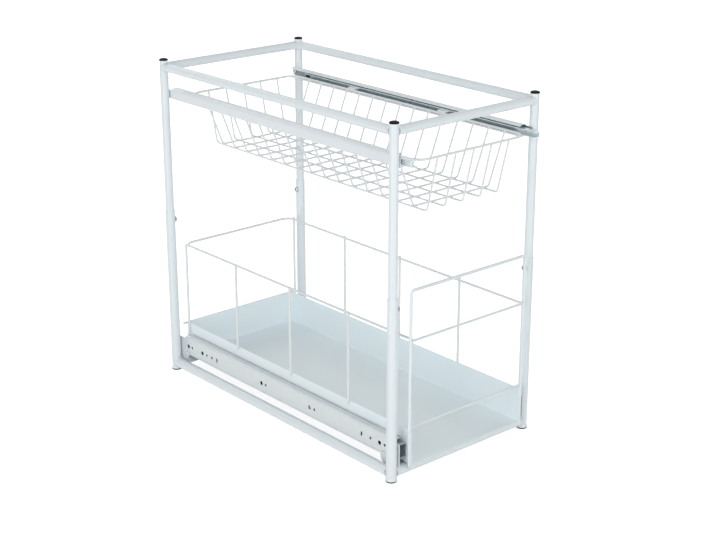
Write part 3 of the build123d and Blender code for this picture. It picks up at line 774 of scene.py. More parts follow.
@dataclass(frozen=True)
class Finish:
    """A surface finish: two close tones, a gloss range, the effects that shape them, and for some a painted shade tone.
    """

    name: str
    tone: tuple[float, float, float]
    second_tone: tuple[float, float, float]
    roughness: tuple[float, float]
    metallic: float = 0.0
    coat: float = 0.0
    specular: float = 0.5
    grain_scale: float = 700.0
    grain_height: float = 0.00004
    streaks: bool = False
    spangle: bool = False
    # Painted shade: a dark tone laid deep in a slide's channel or inside a rail.
    deep_tone: tuple[float, float, float] | None = None
    deep_span: tuple[float, float] = (0.094, 0.1)
    bare_inside: bool = False

    def build(self, effects: dict[str, bpy.types.NodeTree]) -> bpy.types.Material:
        """Makes the material.

        Args:
            effects: The shared effect groups by name.

        Returns:
            The node-based material.
        """
        made = bpy.data.materials.new(self.name)
        made.use_nodes = True
        tree = made.node_tree
        tree.nodes.clear()
        out = tree.nodes.new("ShaderNodeOutputMaterial")
        skin = tree.nodes.new("ShaderNodeBsdfPrincipled")
        tree.links.new(skin.outputs["BSDF"], out.inputs["Surface"])
        skin.inputs["Metallic"].default_value = self.metallic
        skin.inputs["Coat Weight"].default_value = self.coat
        skin.inputs["Coat Roughness"].default_value = 0.12
        skin.inputs["Specular IOR Level"].default_value = self.specular

        def group(key: str, **values: float) -> bpy.types.Node:
            """Places a shared effect with this finish's own values."""
            node = tree.nodes.new("ShaderNodeGroup")
            node.node_tree = effects[key]
            for word, value in values.items():
                node.inputs[word.replace("_", " ")].default_value = value
            return node

        grain = group("grain", Scale=self.grain_scale)
        marks = group("handling", Share=1.0)
        mask = grain.outputs["Shade"]
        if self.streaks:
            mask = group("rolled", Scale=1.0).outputs["Streak"]
        if self.spangle:
            patch = group("spangle", Scale=240.0)
            blend = tree.nodes.new("ShaderNodeMix")
            blend.data_type = "FLOAT"
            blend.inputs["Factor"].default_value = 0.45
            tree.links.new(mask, blend.inputs["A"])
            tree.links.new(patch.outputs["Patch"], blend.inputs["B"])
            mask = blend.outputs["Result"]
        colour = tree.nodes.new("ShaderNodeMix")
        colour.data_type = "RGBA"
        colour.inputs["A"].default_value = (*self.tone, 1.0)
        colour.inputs["B"].default_value = (*self.second_tone, 1.0)
        tree.links.new(mask, colour.inputs["Factor"])
        tone = colour.outputs["Result"]
        # Painted shade: darkens the tone deep in a channel or inside a rail.
        if self.deep_tone is not None:
            if self.bare_inside:
                depth = group("rail painted shade").outputs["Inside"]
            else:
                depth = group("channel", Bright_at=self.deep_span[0], Dark_at=self.deep_span[1]).outputs["Depth"]
            darken = tree.nodes.new("ShaderNodeMix")
            darken.data_type = "RGBA"
            darken.inputs["B"].default_value = (*self.deep_tone, 1.0)
            tree.links.new(depth, darken.inputs["Factor"])
            tree.links.new(tone, darken.inputs["A"])
            tone = darken.outputs["Result"]
        tree.links.new(tone, skin.inputs["Base Color"])
        gloss = tree.nodes.new("ShaderNodeMapRange")
        gloss.inputs["To Min"].default_value = self.roughness[0]
        gloss.inputs["To Max"].default_value = self.roughness[1]
        tree.links.new(marks.outputs["Mask"], gloss.inputs["Value"])
        tree.links.new(gloss.outputs["Result"], skin.inputs["Roughness"])
        bump = tree.nodes.new("ShaderNodeBump")
        bump.inputs["Distance"].default_value = self.grain_height
        bump.inputs["Strength"].default_value = 0.6
        tree.links.new(grain.outputs["Height"], bump.inputs["Height"])
        tree.links.new(bump.outputs["Normal"], skin.inputs["Normal"])
        return made


POWDER_COAT = Finish(
    "white powder coat", (0.79, 0.848, 0.872), (0.80, 0.856, 0.88), (0.34, 0.38),
    coat=0.15, grain_scale=900.0, grain_height=0.00001,
)
# Painted shade: the rails' inside and the tongues' inboard faces take a dark teal tone.
RAIL_COAT = Finish(
    "white powder coat on rails", (0.80, 0.838, 0.86), (0.81, 0.846, 0.867), (0.34, 0.38),
    coat=0.15, grain_scale=900.0, grain_height=0.00001,
    deep_tone=(0.27, 0.34, 0.375), bare_inside=True,
)
WIRE_COAT = Finish(
    "white powder coat on wire", (0.775, 0.805, 0.81), (0.79, 0.815, 0.82), (0.34, 0.38),
    coat=0.15, grain_scale=900.0, grain_height=0.00001,
)
# Painted light: the tray's white coat is set lighter than the other white coats, so the shaded inside of the tray reads
# light.
TRAY_COAT_LIGHTENED = Finish(
    "white powder coat on sheet", (0.855, 0.93, 0.955), (0.865, 0.938, 0.961), (0.34, 0.4),
    coat=0.12, grain_scale=750.0, grain_height=0.00001,
)
GALVANISED = Finish(
    "galvanised sheet", (0.655, 0.70, 0.71), (0.715, 0.75, 0.76), (0.44, 0.54),
    metallic=0.3, streaks=True, spangle=True, grain_scale=500.0, grain_height=0.00002,
)
# Painted shade: the basket's inner members turn dark teal deep in their channel.
BRIGHT_ZINC = Finish(
    "bright zinc plate", (0.68, 0.75, 0.775), (0.76, 0.82, 0.835), (0.26, 0.34),
    metallic=0.55, streaks=True, grain_scale=900.0, grain_height=0.00001,
    deep_tone=(0.26, 0.335, 0.37), deep_span=(0.0935, 0.0995),
)
# Painted shade: the tray's inner slide members turn dark deep in their channel, so the punched holes and the channel
# read dark.
SLIDE_STEEL_WITH_PAINTED_SHADE = Finish(
    "greased slide steel", (0.50, 0.58, 0.58), (0.58, 0.65, 0.65), (0.26, 0.36),
    metallic=0.7, streaks=True, grain_scale=700.0, grain_height=0.00001,
    deep_tone=(0.10, 0.12, 0.125), deep_span=(0.0985, 0.0945),
)
SCREW_STEEL = Finish(
    "plated screw steel", (0.42, 0.45, 0.47), (0.52, 0.54, 0.56), (0.16, 0.24),
    metallic=1.0, grain_scale=900.0, grain_height=0.000005,
)
CAGE_STEEL = Finish(
    "cage steel", (0.5, 0.52, 0.54), (0.6, 0.62, 0.64), (0.28, 0.4),
    metallic=1.0, streaks=True, grain_height=0.00002,
)
BALL_STEEL = Finish(
    "polished ball steel", (0.74, 0.74, 0.76), (0.8, 0.8, 0.82), (0.06, 0.12),
    metallic=1.0, grain_height=0.000005,
)
BLACK_PLASTIC = Finish(
    "black moulded plastic", (0.006, 0.007, 0.009), (0.010, 0.011, 0.013), (0.46, 0.6),
    specular=0.08, grain_scale=1400.0, grain_height=0.00006,
)


@dataclass
class Paints:
    """All the finishes, built once."""

    effects: dict[str, bpy.types.NodeTree] = field(init=False)
    powder: bpy.types.Material = field(init=False)
    tray: bpy.types.Material = field(init=False)
    wire: bpy.types.Material = field(init=False)
    rail: bpy.types.Material = field(init=False)
    galvanised: bpy.types.Material = field(init=False)
    zinc: bpy.types.Material = field(init=False)
    greased: bpy.types.Material = field(init=False)
    screw: bpy.types.Material = field(init=False)
    cage: bpy.types.Material = field(init=False)
    ball: bpy.types.Material = field(init=False)
    black: bpy.types.Material = field(init=False)

    def __post_init__(self) -> None:
        """Builds the shared effects, then each finish."""
        self.effects = {
            "grain": grain_effect(),
            "rolled": rolled_effect(),
            "spangle": spangle_effect(),
            "handling": handling_effect(),
            "channel": channel_effect(),
            "rail painted shade": bare_inside_effect(),
        }
        self.powder = POWDER_COAT.build(self.effects)
        self.tray = TRAY_COAT_LIGHTENED.build(self.effects)
        self.wire = WIRE_COAT.build(self.effects)
        self.rail = RAIL_COAT.build(self.effects)
        self.galvanised = GALVANISED.build(self.effects)
        self.zinc = BRIGHT_ZINC.build(self.effects)
        self.greased = SLIDE_STEEL_WITH_PAINTED_SHADE.build(self.effects)
        self.screw = SCREW_STEEL.build(self.effects)
        self.cage = CAGE_STEEL.build(self.effects)
        self.ball = BALL_STEEL.build(self.effects)
        self.black = BLACK_PLASTIC.build(self.effects)

    def repaint(self, node: str, material: bpy.types.Material) -> None:
        """Gives a carried-over CAD node its finish.

        Args:
            node: Name of the CAD node.
            material: Its finish.
        """
        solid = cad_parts[node]
        if not solid.material_slots:
            solid.data.materials.append(material)
        for slot in solid.material_slots:
            slot.material = material
        LOG.info("%s keeps its solid", node)


# ---------------------------------------------------------------- tube frame
@dataclass
class TubeFrame:
    """Both halves of the telescopic frame: posts, ring tubes, welds, feet and plugs."""

    shop: Workshop
    paints: Paints
    half_x: float = 110.0
    half_y: float = 218.0
    lower_radius: float = 6.35
    lower_bore: float = 5.65
    lower_bottom: float = 4.6
    lower_top: float = 226.5
    upper_radius: float = 5.57
    upper_bore: float = 4.67
    upper_bottom: float = 86.5
    upper_top: float = 426.0
    bottom_ring_z: float = 11.0
    top_ring_z: float = 417.5
    bead: float = 1.5

    def corners(self) -> dict[str, tuple[float, float]]:
        """The four post axes by name."""
        return {
            "front_left": (-self.half_x, -self.half_y),
            "front_right": (self.half_x, -self.half_y),
            "rear_left": (-self.half_x, self.half_y),
            "rear_right": (self.half_x, self.half_y),
        }

    def posts(self) -> None:
        """Turns the eight posts, each a thin tube with eased ends."""
        for corner, (x, y) in self.corners().items():
            for half, body, outer, bore, low, high in (
                ("lower", Body.ROOT, self.lower_radius, self.lower_bore, self.lower_bottom, self.lower_top),
                ("upper", Body.UPPER, self.upper_radius, self.upper_bore, self.upper_bottom, self.upper_top),
            ):
                ease = 0.22
                profile = [
                    (bore, low), (outer, low), (outer, high - ease), (outer - ease / 3, high - ease / 3),
                    (outer - ease, high), (bore + ease / 2, high), (bore, high - ease / 2),
                ]
                bm = bmesh.new()
                add_turned(bm, profile, Matrix.Translation(at(x, y, 0)), 48)
                piece = finish_mesh(f"{half}_post_tube_{corner}", bm, self.paints.powder)
                dress(piece, body, Slot.POWDER, f"{half}_post_{corner}")

    def ring_end(self, radius: float, turn: float) -> float:
        """How far from the post axis a ring tube stops, coped to the post and mitred to its neighbour."""
        across = abs(radius * math.cos(turn))
        return max(math.sqrt(max(radius * radius - across * across, 0.0)), across)

    def ring_tube(self, z: float, radius: float, along_x: bool, sign: int, sides: int = 48) -> tuple[list[list[Vector]], list[list[Vector]]]:
        """Works out a ring tube and its two weld lines.

        Args:
            z: Height of the tube's axis.
            radius: Radius of tube and post.
            along_x: True for a front or rear tube.
            sign: -1 for front or left, 1 for rear or right.
            sides: Steps round the tube.

        Returns:
            The two end rings of the tube, and the two weld lines just outside them.
        """
        reach = self.half_x if along_x else self.half_y
        offset = sign * (self.half_y if along_x else self.half_x)
        ends: list[list[Vector]] = []
        welds: list[list[Vector]] = []
        for end in (-1, 1):
            ring, weld = [], []
            for k in range(sides):
                turn = 2 * math.pi * k / sides
                side, up = math.cos(turn), math.sin(turn)
                stop = end * (reach - self.ring_end(radius, turn))
                seam = end * (reach - self.ring_end(radius, turn) - 0.25)
                place = (stop, offset + side * radius) if along_x else (offset + side * radius, stop)
                ring.append(at(place[0], place[1], z + up * radius))
                lift = radius + 0.05
                place = (seam, offset + side * lift) if along_x else (offset + side * lift, seam)
                weld.append(at(place[0], place[1], z + up * lift))
            ends.append(ring)
            welds.append(weld)
        return ends, welds

    def rings(self) -> None:
        """Makes the eight ring tubes and runs a weld bead round each end."""
        for ring, body, z, radius in (
            ("bottom", Body.ROOT, self.bottom_ring_z, self.lower_radius),
            ("top", Body.UPPER, self.top_ring_z, self.upper_radius),
        ):
            seams: list[tuple[list[Vector], bool]] = []
            for word, along_x, sign in (
                ("left", False, -1), ("right", False, 1), ("front", True, -1), ("rear", True, 1),
            ):
                ends, welds = self.ring_tube(z, radius, along_x, sign)
                bm = bmesh.new()
                add_ring_shell(bm, ends)
                piece = finish_mesh(f"{ring}_ring_tube_{word}", bm, self.paints.powder)
                dress(piece, body, Slot.POWDER, f"{ring}_tube_{word}")
                seams += [(weld, True) for weld in welds]
            beads = self.shop.wires(f"{ring}_ring_welds", seams, self.bead, self.paints.powder, sides=8)
            dress(beads, body, Slot.POWDER)

    def feet(self) -> None:
        """Makes the flared foot caps and the black glides under them."""
        caps, glides = bmesh.new(), bmesh.new()
        for x, y in self.corners().values():
            place = Matrix.Translation(at(x, y, 0))
            add_turned(caps, [
                (0, 1.8), (6.9, 1.8), (7.1, 1.95), (7.15, 2.2), (7.05, 2.7), (6.6, 4.1), (6.42, 4.45), (6.25, 4.6),
                (5.6, 4.6), (5.6, 12.8), (5.2, 13.6), (0, 13.6),
            ], place)
            add_turned(glides, [(0, 0.0), (6.2, 0.0), (6.7, 0.25), (6.88, 0.8), (6.9, 1.4), (6.9, 1.8), (0, 1.8)], place)
        piece = finish_mesh("flared_foot_caps", caps, self.paints.powder)
        dress(piece, Body.ROOT, Slot.POWDER, "foot_caps")
        piece = finish_mesh("round_foot_glides", glides, self.paints.black)
        dress(piece, Body.ROOT, Slot.BLACK, "foot_glides")

    def plugs(self) -> None:
        """Makes the dished black plugs in the post tops."""
        bm = bmesh.new()
        for x, y in self.corners().values():
            add_turned(bm, [
                (0, 418.4), (4.2, 418.0), (4.62, 418.8), (4.62, 426.0), (5.85, 426.0), (5.87, 426.35), (5.75, 426.9),
                (5.45, 427.45), (4.9, 427.85), (4.3, 428.0), (3.8, 427.9), (3.4, 427.55), (2.9, 427.35), (0, 427.3),
            ], Matrix.Translation(at(x, y, 0)))
        piece = finish_mesh("dished_post_plugs", bm, self.paints.black)
        dress(piece, Body.UPPER, Slot.BLACK, "post_plugs")

    def build(self) -> None:
        """Builds the whole tube frame."""
        self.posts()
        self.rings()
        self.feet()
        self.plugs()


# ---------------------------------------------------------------- screws
@dataclass
class Screws:
    """Cross-recess pan head screws: the clamps in the posts and the rail fixings."""

    shop: Workshop
    paints: Paints
    head: float = 8.0
    head_height: float = 2.6
    clamp_z: float = 213.0
    rail_z: float = 382.0

    def pan_head(self, diameter: float, height: float, shank: float) -> bpy.types.Object:
        """Makes one screw with its head's seat at the origin, head towards +Z.

        Args:
            diameter: Head diameter in millimetres.
            height: Head height.
            shank: Length below the head.

        Returns:
            The screw, as an object to set out.
        """
        bm = bmesh.new()
        rows, sides, radius = 14, 48, diameter / 2
        rings: list[list[Vector]] = []
        thread = radius * 0.5
        rings.append([Vector((thread * 0.8 * math.cos(a), thread * 0.8 * math.sin(a), -shank)) * MM for a in self.turns(sides)])
        turns_of_thread = max(2, int(shank / 0.7))
        for k in range(turns_of_thread):
            for share, r in ((0.15, thread), (0.5, thread * 0.86), (0.85, thread)):
                z = -shank + (k + share) / turns_of_thread * shank * 0.98
                rings.append([Vector((r * math.cos(a), r * math.sin(a), z)) * MM for a in self.turns(sides)])
        rings.append([Vector((radius * math.cos(a), radius * math.sin(a), 0.0)) * MM for a in self.turns(sides)])
        for k in range(1, rows + 1):
            share = k / rows
            r = radius * math.cos(share * math.pi / 2) ** 0.55 if share < 1 else 0.0
            dome = height * math.sin(share * math.pi / 2) ** 0.7
            r = max(r, 0.02)
            ring = []
            for a in self.turns(sides):
                x, y = r * math.cos(a), r * math.sin(a)
                arm = radius * 0.5
                slot = (abs(x) < radius * 0.13 and abs(y) < arm) or (abs(y) < radius * 0.13 and abs(x) < arm)
                ring.append(Vector((x, y, dome - (height * 0.42 if slot else 0.0))) * MM)
            rings.append(ring)
        add_ring_shell(bm, rings)
        return finish_mesh("one_screw", bm, self.paints.screw, 40.0)

    @staticmethod
    def tipped(inward: float, spin: float) -> tuple[float, float, float]:
        """Euler angles that point a screw's head along X, turned about its own axis first."""
        turn = Matrix.Rotation(inward * math.pi / 2, 3, "Y") @ Matrix.Rotation(spin, 3, "Z")
        return tuple(turn.to_euler())

    @staticmethod
    def turns(sides: int) -> list[float]:
        """Equal steps round a circle, in radians."""
        return [2 * math.pi * k / sides for k in range(sides)]

    def build(self) -> None:
        """Sets the clamp screws and the rail fixings."""
        clamp = self.pan_head(self.head, self.head_height, 0.72)
        places = []
        for x in (-110.0, 110.0):
            for y in (-218.0, 218.0):
                inward = -math.copysign(1.0, x)
                places.append((at(x + inward * 6.35, y, self.clamp_z), self.tipped(inward, 0.3 + 0.01 * y)))
        piece = self.shop.set_out("pan_head_clamp_screws", clamp, places, self.paints.screw, 40.0)
        dress(piece, Body.ROOT, Slot.ZINC, "clamp_screws")
        fixing = self.pan_head(6.6, 2.2, 8.0)
        places = []
        for x in (-103.43, 103.43):
            inward = -math.copysign(1.0, x)
            for y in (-218.0, 218.0):
                places.append((at(x, y, self.rail_z), self.tipped(inward, 0.9 + 0.02 * y)))
        piece = self.shop.set_out("rail_fixing_screws", fixing, places, self.paints.screw, 40.0)
        dress(piece, Body.UPPER, Slot.ZINC)


# ---------------------------------------------------------------- slides
@dataclass
class LowerSlides:
    """The zinc ball slides under the tray, with their brackets and bumpers."""

    shop: Workshop
    paints: Paints
    middle_z: float = 36.0
    height: float = 27.0
    sheet: float = 1.2
    out_x: float = 102.45
    tray_half: float = 90.25
    lip_u: float = 10.7
    lip_depth: float = 1.8
    outer_run: tuple[float, float] = (-214.0, 206.0)
    inner_run: tuple[float, float] = (-222.0, 190.0)
    inner_half: float = 9.06
    inner_flange_u: float = 3.0
    round_holes: tuple[tuple[float, float], ...] = (
        (199.2, 5.5), (167.2, 5.5), (37.6, 5.5), (-59.4, 5.5), (-188.7, 5.5), (190.4, 3.6), (157.1, 3.6),
        (145.5, 3.6), (28.5, 3.6), (-68.4, 3.6), (-172.7, 3.6), (-197.7, 3.6),
    )
    slots: tuple[float, ...] = (134.3, -156.6)

    def across(self, side: Side, u: float) -> float:
        """The x of a place u millimetres inboard of the slide's outer face."""
        return side.value * (self.out_x - u)

    def outer(self, side: Side) -> None:
        """Rolls the outer member and punches its rows of holes."""
        half, t = self.height / 2, self.sheet / 2
        line = [
            (self.lip_u - t, half - self.sheet - self.lip_depth), (self.lip_u - t, half - t), (t, half - t),
            (t, -half + t), (self.lip_u - t, -half + t), (self.lip_u - t, -half + self.sheet + self.lip_depth),
        ]
        outline = [(self.across(side, u), self.middle_z + z) for u, z in sheet_outline(line, [0, 1.1, 1.9, 1.9, 1.1, 0], self.sheet)]
        bm = bmesh.new()
        add_extrusion(bm, outline, *self.outer_run)
        piece = finish_mesh(f"lower_slide_outer_{side.word}", bm, self.paints.galvanised, 28.0)
        cutter = bmesh.new()
        for y, diameter in self.round_holes:
            self.add_cutter(cutter, side, y, diameter, 0.0)
        for y in self.slots:
            self.add_cutter(cutter, side, y, 3.0, 3.0)
        cut_holes(piece, finish_mesh("punches", cutter, self.paints.galvanised))
        even_shading(piece)
        dress(piece, Body.ROOT, Slot.GALVANISED, f"lower_outer_member_{side.word}")

    def add_cutter(self, bm: bmesh.types.BMesh, side: Side, y: float, diameter: float, stretch: float) -> None:
        """Adds one punch through the web, round or stretched upright."""
        rings = []
        for u in (-1.0, 2.4):
            ring = []
            for a in Screws.turns(24):
                z = math.sin(a) * diameter / 2 + math.copysign(stretch / 2, math.sin(a))
                ring.append(at(self.across(side, u), y + math.cos(a) * diameter / 2, self.middle_z + z))
            rings.append(ring)
        add_ring_shell(bm, rings)

    def inner(self, side: Side) -> None:
        """Rolls the inner member that is riveted to the tray wall."""
        t = self.sheet / 2
        wall = self.out_x - self.tray_half
        line = [
            (self.inner_flange_u, self.inner_half - t), (wall - t, self.inner_half - t),
            (wall - t, -self.inner_half + t), (self.inner_flange_u, -self.inner_half + t),
        ]
        outline = [(self.across(side, u), self.middle_z + z) for u, z in sheet_outline(line, [0, 1.6, 1.6, 0], self.sheet)]
        bm = bmesh.new()
        add_extrusion(bm, outline, *self.inner_run)
        # Its finish paints shade deep in the channel.
        piece = finish_mesh(f"lower_slide_inner_{side.word}", bm, self.paints.greased, 28.0)
        even_shading(piece)
        dress(piece, Body.TRAY, Slot.GALVANISED, f"lower_inner_member_{side.word}")

    def bumpers(self) -> None:
        """Moulds the rear stops, each a block on a thin tail along the web."""
        bm = bmesh.new()
        for side in Side:
            for (u_from, u_to), (y_from, y_to), half, rounding in (
                ((1.25, 7.7), (190.3, 195.8), 7.0, 0.9), ((1.25, 2.6), (187.0, 205.2), 8.2, 0.3),
            ):
                xs = sorted((self.across(side, u_from), self.across(side, u_to)))
                add_plate(bm, (xs[0], y_from, self.middle_z - half), (xs[1], y_to, self.middle_z + half), rounding)
        piece = finish_mesh("lower_slide_rear_stops", bm, self.paints.black, 40.0)
        dress(piece, Body.ROOT, Slot.BLACK, "lower_runner_bumpers")

    def build(self) -> None:
        """Builds both slides and dresses the solids that stay."""
        for side in Side:
            self.outer(side)
            self.inner(side)
        self.bumpers()
        for node in ("cross_bracket_front", "cross_bracket_rear"):
            self.paints.repaint(node, self.paints.galvanised)


@dataclass
class UpperSlides:
    """The white rails on the posts and the zinc inner members of the basket."""

    shop: Workshop
    paints: Paints
    middle_z: float = 382.0
    out_x: float = 104.43
    width: float = 11.0
    height: float = 15.0
    sheet: float = 1.0
    shoulder: float = 4.5
    lip_depth: float = 1.5
    rail_run: tuple[float, float] = (-212.0, 213.0)
    tongue_half: float = 5.5
    tongue_reach: float = 222.0
    inner_run: tuple[float, float] = (-236.0, 182.0)
    inner_u: tuple[float, float] = (3.4, 12.4)
    inner_half: float = 3.96

    def across(self, side: Side, u: float) -> float:
        """The x of a place u millimetres inboard of the rail's outer face."""
        return side.value * (self.out_x - u)

    def rail(self, side: Side) -> None:
        """Rolls the white outer member, with a flat tongue to each post."""
        half, t = self.height / 2, self.sheet / 2
        line = [
            (self.width - t, half - self.sheet - self.lip_depth), (self.width - t, half - t), (t, half - t),
            (t, -half + t), (self.width - t, -half + t), (self.width - t, -half + self.sheet + self.lip_depth),
        ]
        bends = [0, 0.9, self.shoulder - t, self.shoulder - t, 0.9, 0]
        outline = [(self.across(side, u), self.middle_z + z) for u, z in sheet_outline(line, bends, self.sheet, 8)]
        bm = bmesh.new()
        add_extrusion(bm, outline, *self.rail_run)
        for y_from, y_to in ((-self.tongue_reach, self.rail_run[0] + 0.5), (self.rail_run[1] - 0.5, self.tongue_reach)):
            xs = sorted((self.across(side, 0.0), self.across(side, self.sheet)))
            add_plate(
                bm, (xs[0], y_from, self.middle_z - self.tongue_half),
                (xs[1], y_to, self.middle_z + self.tongue_half), 0.35,
            )
        piece = finish_mesh(f"upper_slide_rail_{side.word}", bm, self.paints.rail, 28.0)
        even_shading(piece)
        dress(piece, Body.UPPER, Slot.POWDER, f"upper_rail_{side.word}")

    def inner(self, side: Side) -> None:
        """Rolls the zinc inner member, open towards the basket."""
        t = self.sheet / 2
        low, high = self.inner_u
        line = [
            (high, self.inner_half - t), (low + t, self.inner_half - t),
            (low + t, -self.inner_half + t), (high, -self.inner_half + t),
        ]
        outline = [(self.across(side, u), self.middle_z + z) for u, z in sheet_outline(line, [0, 1.2, 1.2, 0], self.sheet)]
        bm = bmesh.new()
        add_extrusion(bm, outline, *self.inner_run)
        piece = finish_mesh(f"upper_slide_inner_{side.word}", bm, self.paints.zinc, 28.0)
        even_shading(piece)
        dress(piece, Body.BASKET, Slot.ZINC, f"upper_inner_member_{side.word}")

    def build(self) -> None:
        """Builds both slides."""
        for side in Side:
            self.rail(side)
            self.inner(side)
        self.paints.repaint("upper_runner_bumpers", self.paints.black)
        self.paints.repaint("basket_tabs", self.paints.powder)


@dataclass
class BallCages:
    """The cages and polished balls of all four slides."""

    shop: Workshop
    paints: Paints
    rows: tuple[float, ...] = (-48.0, -12.0, 24.0)

    def build(self) -> None:
        """Dresses the cages and sets out round balls in their pockets."""
        for level, out_x, u, radius, z, spread in (
            ("lower", 102.45, 6.0, 1.6, 36.0, 10.68), ("upper", 104.43, 6.4, 1.25, 382.0, 5.23),
        ):
            for side in Side:
                body = Body[f"{level.upper()}_CAGE_{side.name}"]
                self.paints.repaint(f"{level}_ball_cage_{side.word}", self.paints.cage)
                bm = bmesh.new()
                bmesh.ops.create_icosphere(bm, subdivisions=3, radius=radius * MM)
                ball = finish_mesh("one_ball", bm, self.paints.ball, 80.0)
                places = [
                    (at(side.value * (out_x - u), y, z + up * spread), (0.0, 0.0, 0.0))
                    for y in self.rows for up in (-1, 1)
                ]
                piece = self.shop.set_out(f"{level}_bearing_balls_{side.word}", ball, places, self.paints.ball, 80.0)
                dress(piece, body, Slot.BALL, f"{level}_balls_{side.word}")


# ---------------------------------------------------------------- tray
@dataclass
class Tray:
    """The lower pull-out: sheet pan, wire gallery, uprights, front handle and cross wires."""

    shop: Workshop
    paints: Paints
    half: float = 90.25
    floor_z: float = 17.8
    wall_top: float = 63.0
    front: float = -230.0
    rear: float = 218.0
    sheet: float = 1.0
    bend: float = 3.0
    wire: float = 3.2
    gallery_z: float = 174.5
    gallery_x: float = 88.65
    gallery_rear: float = 218.7
    gallery_front: float = -231.0
    upright_x: float = 91.85
    upright_y: tuple[float, ...] = (-120.5, -10.0, 100.5, 211.0)
    handle_wire: float = 4.0
    handle_x: float = 92.25
    handle_y: float = -229.0
    handle_z: tuple[float, float] = (15.8, 234.0)
    handle_bend: float = 5.0

    def pan(self) -> None:
        """Folds the pan: one sheet, bent up at both sides and at the rear."""
        bm = bmesh.new()
        low, high = at(-self.half, self.front, self.floor_z), at(self.half, self.rear, self.wall_top)
        corner = {
            (i, j, k): bm.verts.new(((low, high)[i].x, (low, high)[j].y, (low, high)[k].z))
            for i in (0, 1) for j in (0, 1) for k in (0, 1)
        }
        bm.faces.new([corner[0, 0, 0], corner[1, 0, 0], corner[1, 1, 0], corner[0, 1, 0]])
        bm.faces.new([corner[0, 0, 0], corner[0, 1, 0], corner[0, 1, 1], corner[0, 0, 1]])
        bm.faces.new([corner[1, 0, 0], corner[1, 0, 1], corner[1, 1, 1], corner[1, 1, 0]])
        bm.faces.new([corner[0, 1, 0], corner[1, 1, 0], corner[1, 1, 1], corner[0, 1, 1]])
        bmesh.ops.recalc_face_normals(bm, faces=bm.faces)
        lowest = [e for e in bm.edges if len(e.link_faces) == 2 and all(abs(v.co.z - low.z) < 1e-6 for v in e.verts)]
        bmesh.ops.bevel(bm, geom=lowest, offset=self.bend * MM, segments=6, affect="EDGES", profile=0.5)
        upright = [e for e in bm.edges if len(e.link_faces) == 2 and abs(e.verts[0].co.z - e.verts[1].co.z) > 0.03]
        bmesh.ops.bevel(bm, geom=upright, offset=1.3 * MM, segments=4, affect="EDGES", profile=0.5)
        bmesh.ops.recalc_face_normals(bm, faces=bm.faces)
        floor = max(bm.faces, key=lambda f: f.calc_area())
        if floor.normal.z > 0:
            bmesh.ops.reverse_faces(bm, faces=bm.faces)
        mesh = bpy.data.meshes.new("pan")
        bm.to_mesh(mesh)
        bm.free()
        source = bpy.data.objects.new("pan", mesh)
        bpy.context.scene.collection.objects.link(source)
        wall = source.modifiers.new("sheet", "SOLIDIFY")
        wall.thickness = self.sheet * MM
        wall.offset = -1.0
        wall.use_even_offset = True
        plain = bpy.data.meshes.new_from_object(source.evaluated_get(bpy.context.evaluated_depsgraph_get()))
        bpy.data.objects.remove(source)
        bm = bmesh.new()
        bm.from_mesh(plain)
        # The pan's finish is a lightened copy of the white coat: painted light.
        piece = finish_mesh("folded_tray_pan", bm, self.paints.tray, 28.0)
        even_shading(piece)
        dress(piece, Body.TRAY, Slot.POWDER, "tray_pan")

    def wires(self) -> None:
        """Bends the gallery, the uprights, the handle and the cross wires."""
        powder = self.paints.wire
        x, z = self.gallery_x, self.gallery_z
        route = bent_path(
            [at(-x, self.gallery_front, z), at(-x, self.gallery_rear, z), at(x, self.gallery_rear, z), at(x, self.gallery_front, z)],
            [0, 12.0, 12.0, 0],
        )
        piece = self.shop.wires("gallery_wire_loop", [(route, False)], self.wire, powder)
        dress(piece, Body.TRAY, Slot.POWDER, "tray_gallery_wire")

        top = z + self.wire / 2
        routes = []
        for y in self.upright_y:
            foot = 51.5 if y == max(self.upright_y) else self.wall_top - 4.0
            for side in Side:
                routes.append(([at(side.value * self.upright_x, y, foot), at(side.value * self.upright_x, y, top)], False))
        piece = self.shop.wires("gallery_uprights", routes, self.wire, powder)
        dress(piece, Body.TRAY, Slot.POWDER, "tray_uprights")

        low, high = self.handle_z
        hx, hy = self.handle_x, self.handle_y
        route = bent_path([at(-hx, hy, low), at(-hx, hy, high), at(hx, hy, high), at(hx, hy, low)], [4.5, self.handle_bend, self.handle_bend, 4.5], closed=True)
        piece = self.shop.wires("front_handle_loop", [(route, True)], self.handle_wire, self.paints.powder, sides=20)
        dress(piece, Body.TRAY, Slot.POWDER, "tray_front_handle")

        reach, fy = hx + 1.5, hy + self.handle_wire / 2 + self.wire / 2
        routes = [([at(-reach, fy, level), at(reach, fy, level)], False) for level in (z - self.wire, self.wall_top + self.wire / 2)]
        ry = self.rear + self.wire / 2
        routes.append(([at(-95.0, ry, self.wall_top - self.wire / 2), at(95.0, ry, self.wall_top - self.wire / 2)], False))
        piece = self.shop.wires("tray_cross_bars", routes, self.wire, self.paints.powder)
        dress(piece, Body.TRAY, Slot.POWDER, "tray_cross_wires")

